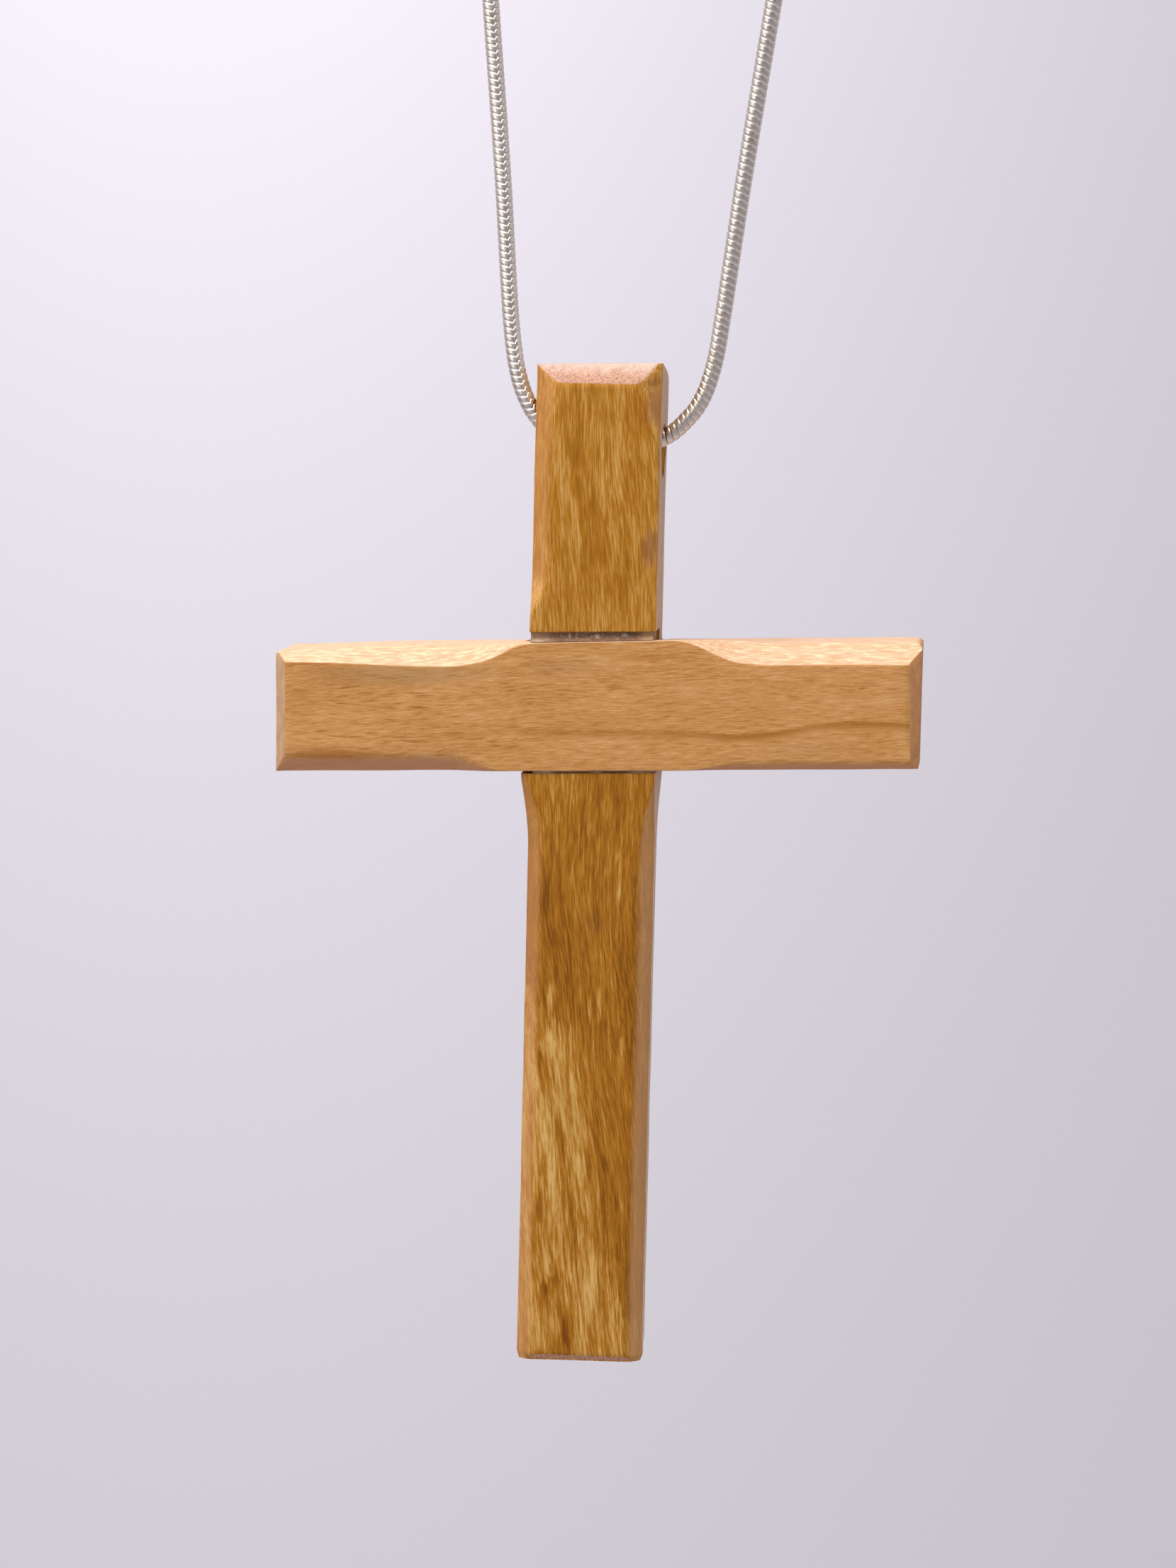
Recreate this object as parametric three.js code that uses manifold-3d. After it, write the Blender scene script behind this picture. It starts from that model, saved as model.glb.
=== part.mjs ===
// A wooden cross on a closed snake chain, hung up with the spare chain wound on a peg.
// Millimetres, +Z up, the cross faces -Y. The origin is the top of the peg, inside the coil's top turns.
import * as THREE from "three";
import { mergeVertices } from "three/addons/utils/BufferGeometryUtils.js";
import Module from "manifold-3d";

const wasm = await Module();
wasm.setup();

const degree = Math.PI / 180;

// Chain: a round snake chain, its two strands as they hang, and the coil of what is left over.
const chainDiameter = 1.2;
const chainSides = 8;
const chainSteps = 80;
const pegDiameter = 25.4;
const fullTurns = 4;
const turnPitch = 1.68;
const lastTurnAside = 0.75;
const stepsPerTurn = 24;
const coilSides = 6;
const buttGap = 0.3;

// Cross: the pendant's own frame has X = 0 in the middle of the post, Y = 0 at half its thickness
// and Z = 0 at the height where the chain leaves the right side.
const pendantAt = new THREE.Vector3(-1.98, 0, -72.11);
const thickness = 7;
const backEase = 0.25;
const edgeEase = 0.04;

// Post: full stock at the joint, cut in above it and below it.
const postLength = 71;
const postTop = 5.95;
const postWidth = 8.9;
const stockWidth = 9.75;
const lowerWidth = 9.07;
const lowerAside = 0.22;
const lowerLean = 0.35;
const topBevel = 1.5;
const topBevelHeight = 1.35;
const topCornerCut = 0.47;
const upperChamfer = 1.03;
const chamferFlare = 0.47;
const cornerCut = 1.86;
const cornerReach = 2.4;
const stopLength = 3.4;
const stopAboveBar = 2;
const shoulderLength = 5.1;
const shoulderBelowBar = 0.7;
const shoulderChamfer = 0.42;
const lowerChamfer = 0.92;
const bottomBevel = 0.3;
const bottomBevelHeight = 0.55;

// Chain hole: drilled from side to side, the left mouth higher than the right one.
const holeSlack = 2.1;
const holeSlope = 9 * degree;
const holeHeight = 0.78;
const holeFacets = 32;
const mouthEase = 0.4;

// Crossbar: let into the front of the post at half thickness, a little out of square.
const barLength = 45.6;
const barAside = 0.35;
const barHeight = 8.84;
const barMiddle = -18.19;
const barSkew = 2.06 * degree;
const barProud = 0.2;
const barEndBevel = 0.75;
const leftTopCut = 1.35;
const leftBottomCut = 1;
const leftCutInner = 10.4;
const leftCutOuter = 21.7;
const rightTopCut = 1.42;
const rightBottomCut = 0.6;
const rightCutInner = 10.9;
const cutStop = 5;
const glueFilm = 0.2;
const topSlack = 0.8;
const bottomSlack = 0.18;
const sideSlack = 0.22;
const beadRecess = 0.35;
const beadGap = 0.12;

// Fittings: two end caps, two jump rings and a lobster clasp, along the right strand.
const coilTail = 1.5;
const capDepth = 2.6;
const capSlack = 0.22;
const capWall = 0.3;
const capLength = 3.6;
const eyeRadius = 0.95;
const eyeWire = 0.5;
const ringRadius = 1.8;
const ringWire = 0.5;
const linkGap = 0.2;
const hookGap = 0.5;
const hookWall = 0.9;
const hookThickness = 1.1;
const hollowRadius = 1.2;
const claspReach = 6.15;
const tailHole = 0.8;
const tailWall = 0.5;
const tailThickness = 0.8;
const claspThickness = 2.2;
const leverThickness = 0.8;
const leverGap = 0.2;
const pinDiameter = 0.6;
const pinGap = 0.12;
const springRadius = 0.34;
const springWire = 0.14;
const springPitch = 0.6;
const springCurls = 2.25;

// Tie: a flat band round the turns at the bottom of the coil.
const tieWidth = 1.6;
const tieThickness = 0.4;
const tieGap = 0.3;

const wood = new THREE.MeshStandardMaterial({ name: "olive_wood", color: 0xb88748, roughness: 0.55, metalness: 0 });
const paleWood = new THREE.MeshStandardMaterial({ name: "olive_wood", color: 0xc59562, roughness: 0.6, metalness: 0 });
const glue = new THREE.MeshStandardMaterial({ name: "glue", color: 0x6f5b4a, roughness: 0.3, metalness: 0 });
const silver = new THREE.MeshStandardMaterial({ name: "silver", color: 0xc9c6c2, roughness: 0.2, metalness: 1 });
const steel = new THREE.MeshStandardMaterial({ name: "spring_steel", color: 0x9a9a98, roughness: 0.35, metalness: 1 });
const paper = new THREE.MeshStandardMaterial({ name: "tie_band", color: 0xe8e2d8, roughness: 0.8, metalness: 0 });

// Solid work: a three.js geometry to a manifold solid and back.
function solid(geometry) {
  const bare = geometry.clone();
  bare.deleteAttribute("normal");
  bare.deleteAttribute("uv");
  const merged = mergeVertices(bare, 1e-4);
  return new wasm.Manifold(
    new wasm.Mesh({
      numProp: 3,
      vertProperties: merged.attributes.position.array,
      triVerts: new Uint32Array(merged.index.array),
    }),
  );
}

function geometryOf(body) {
  const mesh = body.getMesh();
  const positions = new Float32Array(mesh.numVert * 3);
  for (let i = 0; i < mesh.numVert; i++) {
    positions.set(mesh.vertProperties.subarray(i * mesh.numProp, i * mesh.numProp + 3), i * 3);
  }
  const geometry = new THREE.BufferGeometry();
  geometry.setAttribute("position", new THREE.BufferAttribute(positions, 3));
  geometry.setIndex(new THREE.BufferAttribute(mesh.triVerts, 1));
  geometry.computeVertexNormals();
  return geometry;
}

function part(name, geometry, material) {
  const mesh = new THREE.Mesh(geometry, material);
  mesh.name = name;
  return mesh;
}

// A closed skin over rings of as many points each, with a flat cap on both ends.
function skin(rings) {
  const sides = rings[0].length;
  const index = [];
  for (let i = 0; i + 1 < rings.length; i++) {
    for (let j = 0; j < sides; j++) {
      const a = i * sides + j;
      const b = i * sides + ((j + 1) % sides);
      index.push(a, b, b + sides, a, b + sides, a + sides);
    }
  }
  const last = (rings.length - 1) * sides;
  for (let j = 1; j + 1 < sides; j++) {
    index.push(0, j + 1, j, last, last + j, last + j + 1);
  }
  const geometry = new THREE.BufferGeometry().setFromPoints(rings.flat());
  geometry.setIndex(index);
  geometry.computeVertexNormals();
  return geometry;
}

// A tube along points, its section carried along without twist.
function tube(points, radius, sides) {
  const direction = (i) => {
    const from = points[Math.max(i - 1, 0)];
    const to = points[Math.min(i + 1, points.length - 1)];
    return to.clone().sub(from).normalize();
  };
  let across = new THREE.Vector3(0, 1, 0);
  const rings = points.map((point, i) => {
    const along = direction(i);
    across = across.clone().addScaledVector(along, -across.dot(along)).normalize();
    const other = along.clone().cross(across);
    return Array.from({ length: sides }, (_, j) => {
      const turn = (j / sides) * 2 * Math.PI;
      return point
        .clone()
        .addScaledVector(across, radius * Math.cos(turn))
        .addScaledVector(other, radius * Math.sin(turn));
    });
  });
  return skin(rings);
}

// The least gap between turns of a wound tube, measured on its centre line's points.
function leastGap(points, diameter, farAlong) {
  let least = Infinity;
  points.forEach((p, i) => {
    for (let j = i + farAlong; j < points.length; j++) {
      least = Math.min(least, p.distanceTo(points[j]));
    }
  });
  return least - diameter;
}

// Chain hole: its axis in the pendant's frame, and the cutter with its eased mouths.
const holeRadius = (chainDiameter + holeSlack) / 2;
const holeReach = postWidth / 2 / Math.cos(holeSlope);

function holeCutter() {
  const mouth = holeRadius + mouthEase;
  const past = holeReach + 2 * holeRadius;
  const profile = [
    [0, -past],
    [mouth, -past],
    [mouth, -holeReach],
    [holeRadius, mouthEase - holeReach],
    [holeRadius, holeReach - mouthEase],
    [mouth, holeReach],
    [mouth, past],
    [0, past],
  ];
  const cutter = new THREE.LatheGeometry(
    profile.map(([r, y]) => new THREE.Vector2(r, y)),
    holeFacets,
  );
  return cutter.rotateZ(-90 * degree).rotateY(holeSlope).translate(0, 0, holeHeight);
}

// Post: sections from the top down. z: height of the section; tilt: its rise towards the right; left and
// right: how far the side faces lie from the middle; front: how far the front is cut back; leftCut and
// rightCut: the hand-cut chamfers of the front corners; lean: how much narrower the back is on the right.
const barTop = barMiddle + barHeight / 2;
const barBottom = barMiddle - barHeight / 2;
const quarterSine = (t) => Math.sin(t * 90 * degree);
const quarterCosine = (t) => Math.cos(t * 90 * degree);

function upperSections() {
  const half = postWidth / 2;
  const plain = { tilt: 0, left: half, right: half, front: 0, leftCut: edgeEase, rightCut: edgeEase, lean: 0 };
  const bevelFoot = postTop - topBevelHeight;
  const stop = barTop + stopAboveBar + stopLength;
  const down = [0, 0.09, 0.19, 0.35, 0.58, 1].map((share) => {
    const depth = share * (bevelFoot - stop);
    const leftCut = upperChamfer + chamferFlare * Math.exp(-depth / cornerReach);
    const rightCut = edgeEase + cornerCut * Math.exp(-depth / cornerReach);
    return { ...plain, z: bevelFoot - depth, leftCut, rightCut };
  });
  // The end bevel meets the two side chamfers in a curve, so its lower edge is shaped like a bowl.
  const foot = down[0];
  const bowl = [1, 0.42, 0.12].map((t) => {
    const rise = 1 - t ** 0.6;
    const leftCut = edgeEase + (foot.leftCut - edgeEase) * rise ** 1.4;
    const rightCut = topCornerCut + (foot.rightCut - topCornerCut) * rise ** 1.2;
    return { ...plain, z: bevelFoot + t * topBevelHeight, tilt: 0.03 * t, front: topBevel * t, leftCut, rightCut };
  });
  const fade = [0.35, 0.7].map((t) => {
    return { ...plain, z: stop - t * stopLength, leftCut: upperChamfer * quarterCosine(t) };
  });
  const flat = [{ ...plain, z: barTop + stopAboveBar }, { ...plain, z: barTop + stopAboveBar / 2 }];
  return [...bowl, ...down, ...fade, ...flat];
}

function lowerSections() {
  const half = stockWidth / 2;
  const cutLeft = half - (lowerWidth / 2 - lowerAside);
  const cutRight = half - (lowerWidth / 2 + lowerAside);
  const shoulder = barBottom - shoulderBelowBar;
  const stock = { tilt: 0, left: half, right: half, front: 0, leftCut: shoulderChamfer, rightCut: edgeEase, lean: 0 };
  const cutIn = [0.18, 0.41, 0.69, 1].map((t) => {
    const share = quarterSine(t);
    const full = edgeEase + lowerChamfer;
    return {
      ...stock,
      z: shoulder - t * shoulderLength,
      left: half - cutLeft * share,
      right: half - cutRight * share,
      leftCut: shoulderChamfer + (full - shoulderChamfer) * share,
      rightCut: edgeEase + (full - edgeEase) * share,
      lean: lowerLean * share,
    };
  });
  const foot = cutIn[cutIn.length - 1];
  const bottom = postTop - postLength;
  const last = { ...foot, z: bottom + bottomBevelHeight, tilt: 0.015 };
  const end = {
    ...last,
    z: bottom,
    left: foot.left - bottomBevel / 2,
    right: foot.right - bottomBevel / 2,
    front: bottomBevel,
    leftCut: foot.leftCut - bottomBevel,
    rightCut: foot.rightCut - bottomBevel,
  };
  return [{ ...stock, z: barTop - stopAboveBar / 4 }, { ...stock, z: shoulder }, ...cutIn, last, end];
}

function postRing(section) {
  const front = -thickness / 2 + section.front;
  const back = thickness / 2;
  const { left, right, leftCut, rightCut, lean } = section;
  const outline = [
    [-left, front + leftCut],
    [leftCut - left, front],
    [right - rightCut, front],
    [right, front + rightCut],
    [right - lean, back - backEase],
    [right - lean - backEase, back],
    [backEase - left, back],
    [-left, back - backEase],
  ];
  return outline.map(([x, y]) => new THREE.Vector3(x, y, section.z + section.tilt * x));
}

// The pocket that takes the crossbar, with room for glue above it.
function postPocket() {
  const height = barHeight + topSlack + bottomSlack;
  const depth = thickness;
  const pocket = new THREE.BoxGeometry(2 * stockWidth, depth, height);
  pocket.translate(0, glueFilm / 2 - depth / 2, (topSlack - bottomSlack) / 2);
  return pocket.rotateY(-barSkew).translate(0, 0, barMiddle);
}

function makePost() {
  const rings = [...upperSections(), ...lowerSections()].map(postRing).reverse();
  const body = solid(skin(rings)).subtract(solid(postPocket())).subtract(solid(holeCutter()));
  return part("post", geometryOf(body), wood);
}

// Crossbar: sections from its left end to its right end, in its own frame. x: place along the bar; tilt:
// how far the section leans with height; front: how far the front is cut back; topCut and bottomCut: chamfers.
function barSections() {
  const left = barAside - barLength / 2;
  const right = barAside + barLength / 2;
  const plain = { tilt: 0, front: 0, topCut: edgeEase, bottomCut: edgeEase };
  const outer = { ...plain, x: -leftCutOuter, topCut: leftTopCut - barEndBevel / 2, bottomCut: leftBottomCut };
  const leftStop = [0, 0.25, 0.5, 0.8, 1].map((t) => {
    const topCut = edgeEase + leftTopCut * quarterCosine(t);
    const bottomCut = edgeEase + leftBottomCut * quarterCosine(t) ** 3;
    return { ...plain, x: t * cutStop - leftCutInner, topCut, bottomCut };
  });
  const rightStop = [1, 0.65, 0.45, 0.25, 0].map((t) => {
    const topCut = edgeEase + rightTopCut * quarterCosine(t) ** 2;
    const bottomCut = edgeEase + rightBottomCut * quarterCosine(t) ** 3;
    return { ...plain, x: rightCutInner - t * cutStop, topCut, bottomCut };
  });
  const last = { ...plain, x: right - barEndBevel, tilt: -0.05, topCut: rightTopCut, bottomCut: rightBottomCut };
  return [
    { ...plain, x: left, tilt: 0.02, front: barEndBevel },
    { ...outer, tilt: 0.02 },
    ...leftStop,
    ...rightStop,
    last,
    { ...last, x: right, tilt: 0.045, front: barEndBevel, topCut: rightTopCut / 2, bottomCut: edgeEase },
  ];
}

function barRing(section) {
  const front = -thickness / 2 - barProud + section.front;
  const back = thickness / 2;
  const half = barHeight / 2;
  const { topCut, bottomCut } = section;
  const outline = [
    [front + bottomCut, -half],
    [back - backEase, -half],
    [back, backEase - half],
    [back, half - backEase],
    [back - backEase, half],
    [front + topCut, half],
    [front, half - topCut],
    [front, bottomCut - half],
  ];
  return outline.map(([y, z]) => new THREE.Vector3(section.x + section.tilt * z, y, z));
}

// The slot in the back of the crossbar that takes the post, parallel to the post.
function barSlot() {
  const slot = new THREE.BoxGeometry(stockWidth + 2 * sideSlack, thickness, 2 * barHeight);
  return slot.translate(0, thickness / 2 - glueFilm / 2, 0).rotateY(barSkew);
}

function makeCrossbar() {
  const rings = barSections().map(barRing);
  const body = solid(skin(rings)).subtract(solid(barSlot()));
  return part("crossbar", geometryOf(body), paleWood);
}

// Glue: the film between the two half-thick faces, and the bead that fills the room above the crossbar.
function makeGlueFilm() {
  const margin = 2 * sideSlack;
  const film = new THREE.BoxGeometry(stockWidth - 2 * margin, glueFilm, barHeight - margin);
  return part("glue_film", film, glue);
}

function makeGlueBead() {
  const height = topSlack - 2 * beadGap;
  const depth = thickness / 2 + glueFilm / 2 - beadRecess;
  const bead = new THREE.BoxGeometry(postWidth, depth, height);
  bead.translate(0, glueFilm / 2 - depth / 2, barHeight / 2 + beadGap + height / 2);
  return part("glue_bead", bead, glue);
}

function makePendant() {
  const pendant = new THREE.Group();
  pendant.position.copy(pendantAt);
  pendant.add(makePost());
  const bar = new THREE.Group();
  bar.position.z = barMiddle;
  bar.rotation.y = -barSkew;
  bar.add(makeCrossbar(), makeGlueFilm(), makeGlueBead());
  pendant.add(bar);
  return pendant;
}

// The chain's free stretch, in the pendant's frame: down the right strand, through the hole and up the left.
const rightStrand = [
  [11.51, -2.3, 31.4],
  [9.72, -1.39, 19.2],
  [8.41, -0.62, 9.3],
  [8.04, -0.42, 6.8],
  [7.7, -0.31, 5.35],
  [7.3, -0.22, 4.12],
  [6.72, -0.13, 3],
  [6.02, -0.07, 2.14],
  [5.24, -0.03, 1.37],
];
const throughHole = [
  [4.42, 0, 0.84],
  [3, 0, 0.36],
  [1.6, 0, 0.1],
  [0.2, 0, 0.04],
  [-1.2, 0, 0.18],
  [-2.6, 0, 0.53],
  [-3.4, 0, 0.91],
  [-4, 0.01, 1.39],
  [-4.42, 0.02, 1.9],
];
const leftStrand = [
  [-4.9, 0.05, 2.5],
  [-5.42, 0.1, 3.42],
  [-5.82, 0.16, 4.42],
  [-6.1, 0.22, 5.43],
  [-6.3, 0.29, 6.45],
  [-6.64, 0.45, 8.95],
  [-7.5, 1.1, 18.9],
  [-8.73, 1.92, 31.3],
];
const inPendant = ([x, y, z]) => new THREE.Vector3(x, y, z).add(pendantAt);

// Coil: a single layer of turns round the peg. Both strands leave it where they touch its circle.
const chainRadius = chainDiameter / 2;
const coilRadius = pegDiameter / 2 + chainRadius;
const coilCentre = new THREE.Vector3(0, 0, -pegDiameter / 2);

function touchAngle(from, side) {
  const x = from.x - coilCentre.x;
  const z = from.z - coilCentre.z;
  return Math.atan2(z, x) + side * Math.acos(coilRadius / Math.hypot(x, z));
}

const leftTop = inPendant(leftStrand[leftStrand.length - 1]);
const rightTop = inPendant(rightStrand[0]);
const leftAngle = touchAngle(leftTop, -1) + 2 * Math.PI;
const rightAngle = touchAngle(rightTop, 1);
const wound = fullTurns + (leftAngle - rightAngle) / (2 * Math.PI);

// The last turn drifts aside, so that the end cap hangs clear of the turn beside it.
function coilPoint(turns) {
  const angle = leftAngle - turns * 2 * Math.PI;
  const aside = lastTurnAside * THREE.MathUtils.smoothstep(turns, wound - 1, wound);
  return new THREE.Vector3(
    coilCentre.x + coilRadius * Math.cos(angle),
    turnPitch * (wound / 2 - turns) - aside,
    coilCentre.z + coilRadius * Math.sin(angle),
  );
}

const leftTouch = coilPoint(0);
const rightTouch = coilPoint(wound);
const leftDown = leftTop.clone().sub(leftTouch).normalize();
const rightDown = rightTop.clone().sub(rightTouch).normalize();
const onLeft = (distance) => leftTouch.clone().addScaledVector(leftDown, distance);
const onRight = (distance) => rightTouch.clone().addScaledVector(rightDown, distance);

// Fittings, placed by their distance s above the lower cap's mouth.
const capEye = capLength + eyeRadius;
const lowerRingAt = capEye + eyeRadius - eyeWire / 2 - linkGap - ringWire / 2 + ringRadius;
const hookInner = lowerRingAt + ringRadius - ringWire / 2 - hookGap;
const hollowAt = hookInner + hollowRadius;
const tailHoleAt = hollowAt + claspReach;
const upperRingAt = tailHoleAt + tailHole - linkGap - ringWire / 2 + ringRadius;
const upperEyeAt = upperRingAt + ringRadius - ringWire / 2 - linkGap - eyeWire / 2 + eyeRadius;
const upperMouthAt = upperEyeAt + capEye;
const lowerMouth = coilTail + upperMouthAt;
const inCap = capDepth - buttGap;

function makeChainRun() {
  const mouth = [onRight(lowerMouth - inCap), onRight(lowerMouth + chainDiameter)];
  const end = [onLeft(2 * chainDiameter + buttGap), onLeft(chainDiameter + buttGap)];
  const middle = [...rightStrand, ...throughHole, ...leftStrand].map(inPendant);
  const path = new THREE.CatmullRomCurve3([...mouth, ...middle, ...end], false, "centripetal");
  const section = new THREE.Shape();
  section.absarc(0, 0, chainRadius, 0, 2 * Math.PI);
  const options = { steps: chainSteps, extrudePath: path, curveSegments: chainSides };
  console.log("free stretch of the chain: " + path.getLength().toFixed(1) + " mm");
  return part("chain_run", new THREE.ExtrudeGeometry(section, options), silver);
}

function makeChainCoil() {
  const steps = Math.round(wound * stepsPerTurn);
  const turns = Array.from({ length: steps + 1 }, (_, i) => coilPoint((i / steps) * wound));
  const points = [onLeft(chainDiameter), ...turns, onRight(chainDiameter), onRight(coilTail + inCap)];
  console.log("least gap between the coil's turns: " + leastGap(turns, chainDiameter, 12).toFixed(2) + " mm");
  return part("chain_coil", tube(points, chainRadius, coilSides), silver);
}

function makeTie() {
  const firstBottom = (leftAngle + 90 * degree) / (2 * Math.PI);
  const backTurn = coilPoint(firstBottom).y;
  const frontTurn = coilPoint(firstBottom + fullTurns - 1).y;
  const halfWidth = (backTurn - frontTurn + chainDiameter) / 2 + tieGap;
  const halfHeight = chainRadius + tieGap;
  const frame = (grow) => {
    const shape = new THREE.Shape();
    shape.absarc(halfWidth - halfHeight, 0, halfHeight + grow, -Math.PI / 2, Math.PI / 2);
    shape.absarc(halfHeight - halfWidth, 0, halfHeight + grow, Math.PI / 2, 1.5 * Math.PI);
    return shape;
  };
  const band = frame(tieThickness);
  band.holes.push(frame(0));
  const geometry = new THREE.ExtrudeGeometry(band, { depth: tieWidth, bevelEnabled: false, curveSegments: 6 });
  geometry.translate(0, 0, -tieWidth / 2).rotateX(90 * degree).rotateZ(90 * degree);
  const tie = part("coil_tie", geometry, paper);
  tie.position.set(0, (backTurn + frontTurn) / 2, coilCentre.z - coilRadius);
  return tie;
}

// An end cap, its mouth at z = 0 and its eye above: a turned cup with a rolled groove and a wire eye.
function capGeometry() {
  const bore = chainRadius + capSlack;
  const outer = bore + capWall;
  const groove = capWall / 3;
  const profile = [
    [0, capDepth],
    [bore, capDepth],
    [bore, 0],
    [outer, 0],
    [outer, capLength * 0.3],
    [outer - groove, capLength * 0.38],
    [outer, capLength * 0.46],
    [outer, capLength * 0.8],
    [outer * 0.7, capLength],
    [0, capLength],
  ];
  const cup = new THREE.LatheGeometry(profile.map(([r, y]) => new THREE.Vector2(r, y)), 20);
  const eye = new THREE.TorusGeometry(eyeRadius, eyeWire / 2, 8, 20);
  eye.translate(0, capEye, 0);
  return geometryOf(solid(cup).add(solid(eye))).rotateX(90 * degree);
}

function makeCap(name, at, upsideDown) {
  const cap = part(name, capGeometry(), silver);
  cap.position.z = at;
  if (upsideDown) {
    cap.rotation.x = Math.PI;
  }
  return cap;
}

function makeRing(name, at) {
  const geometry = new THREE.TorusGeometry(ringRadius, ringWire / 2, 8, 24);
  const ring = part(name, geometry.rotateY(90 * degree), silver);
  ring.position.z = at;
  return ring;
}

// Clasp: drawn in its own plane, w to the right and s up, from the middle of the hook's hollow.
const hookOuter = hollowRadius + hookWall;
const tailOuter = tailHole + tailWall;
const pivot = new THREE.Vector2(-0.2, 3.75);
const slotTop = 4.98;
const slotHalf = leverThickness / 2 + leverGap;
const spineInner = -1.3;
const spineTop = 3.02;

const outlineOf = (points) => new THREE.Shape(points.map(([w, s]) => new THREE.Vector2(w, s)));

// A flat piece of even thickness, standing in the clasp's plane.
function plate(shape, width) {
  const geometry = new THREE.ExtrudeGeometry(shape, { depth: width, bevelEnabled: false, curveSegments: 12 });
  return geometry.translate(0, 0, -width / 2).rotateX(90 * degree);
}

function claspOutline() {
  const shape = new THREE.Shape();
  shape.absarc(0, 0, hookOuter, 37 * degree, -180 * degree, true);
  shape.lineTo(-2.05, 2.7);
  shape.quadraticCurveTo(-1.95, 4.2, -1.12, claspReach - 0.45);
  shape.absarc(0, claspReach, tailOuter, 202 * degree, -22 * degree, true);
  shape.quadraticCurveTo(1.75, 4.3, 1.75, 3.05);
  shape.lineTo(1.05, 2.35);
  shape.quadraticCurveTo(-1.15, 2.3, -hollowRadius, 0.9);
  shape.absarc(0, 0, hollowRadius, 180 * degree, 380 * degree, false);
  const eye = new THREE.Path();
  eye.absarc(0, claspReach, tailHole, 0, 2 * Math.PI);
  const pinHole = new THREE.Path();
  pinHole.absarc(pivot.x, pivot.y, pinDiameter / 2 + pinGap, 0, 2 * Math.PI);
  shape.holes.push(eye, pinHole);
  return shape;
}

// The clasp seen from its edge: slim at the hook and the tail, full where the lever sits.
function claspSide() {
  const slim = hookThickness / 2;
  const full = claspThickness / 2;
  const tail = tailThickness / 2;
  const end = claspReach + tailOuter + 1;
  const right = [
    [slim, -hookOuter - 1],
    [slim, 0.9],
    [full, 1.9],
    [full, 4.6],
    [tail, 5.45],
    [tail, end],
  ];
  const left = right.map(([n, s]) => [-n, s]).reverse();
  const width = 4 * hookOuter;
  const geometry = new THREE.ExtrudeGeometry(outlineOf([...right, ...left]), { depth: width, bevelEnabled: false });
  return geometry.translate(0, 0, -width / 2).rotateX(90 * degree).rotateZ(90 * degree);
}

// The lever's slot: open to the gate side, and to the spine side where the thumb piece comes out.
function leverSlot() {
  const reach = 2 * hookOuter;
  const outline = outlineOf([
    [spineInner, 0],
    [reach, 0],
    [reach, slotTop],
    [-reach, slotTop],
    [-reach, spineTop],
    [spineInner, spineTop],
  ]);
  const slot = solid(plate(outline, 2 * slotHalf));
  const hook = new THREE.BoxGeometry(2 * reach, 2 * reach, 2 * reach).translate(0, 0, 1.8 - reach);
  return slot.subtract(solid(hook));
}

function makeClaspBody() {
  const body = solid(plate(claspOutline(), claspThickness)).intersect(solid(claspSide())).subtract(leverSlot());
  return part("clasp_body", geometryOf(body), silver);
}

function makeClaspLever() {
  const shape = outlineOf([
    [1.15, 0.84],
    [1.5, 1.38],
    [1.68, 1.75],
    [1.68, 2.95],
    [1.2, 3.9],
    [0.4, 4.35],
    [-0.9, 4.38],
    [-2.2, 4.3],
    [-2.85, 4.15],
    [-2.8, 3.6],
    [-2.2, 3.42],
    [-1, 3.24],
    [0.2, 2.9],
    [0.55, 2.6],
    [0.6, 1.9],
    [0.82, 1.3],
  ]);
  const hole = new THREE.Path();
  hole.absarc(pivot.x, pivot.y, pinDiameter / 2 + pinGap, 0, 2 * Math.PI);
  shape.holes.push(hole);
  return part("clasp_lever", plate(shape, leverThickness), silver);
}

function makeClaspPin() {
  const pin = new THREE.CylinderGeometry(pinDiameter / 2, pinDiameter / 2, claspThickness, 16);
  return part("clasp_pin", pin.translate(pivot.x, 0, pivot.y), silver);
}

function makeClaspSpring() {
  const steps = Math.round(springCurls * 8);
  const height = 2.32;
  const curls = Array.from({ length: steps + 1 }, (_, i) => {
    const turn = (i / 8) * 2 * Math.PI;
    return new THREE.Vector3(
      spineInner + 0.2 + (i / 8) * springPitch,
      springRadius * Math.cos(turn),
      height + springRadius * Math.sin(turn),
    );
  });
  console.log("least gap between the spring's curls: " + leastGap(curls, springWire, 5).toFixed(2) + " mm");
  return part("clasp_spring", tube(curls, springWire / 2, 5), steel);
}

// They hang with the clasp's heavier side, its spine, under the leaning strand.
function makeFittings() {
  const up = rightDown.clone().negate();
  const side = new THREE.Vector3(0, 0, 1).addScaledVector(up, -up.z).normalize();
  const back = up.clone().cross(side);
  const fittings = new THREE.Group();
  fittings.quaternion.setFromRotationMatrix(new THREE.Matrix4().makeBasis(side, back, up));
  fittings.position.copy(onRight(lowerMouth));
  const clasp = new THREE.Group();
  clasp.position.z = hollowAt;
  clasp.add(makeClaspBody(), makeClaspLever(), makeClaspPin(), makeClaspSpring());
  fittings.add(
    makeCap("end_cap_lower", 0, false),
    makeRing("jump_ring_lower", lowerRingAt),
    clasp,
    makeRing("jump_ring_upper", upperRingAt),
    makeCap("end_cap_upper", upperMouthAt, true),
  );
  return fittings;
}

const necklace = new THREE.Group();
necklace.add(makePendant(), makeChainRun(), makeChainCoil(), makeTie(), makeFittings());

export default necklace;
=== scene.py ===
"""Looks of a wooden cross on a snake chain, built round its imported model."""

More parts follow.
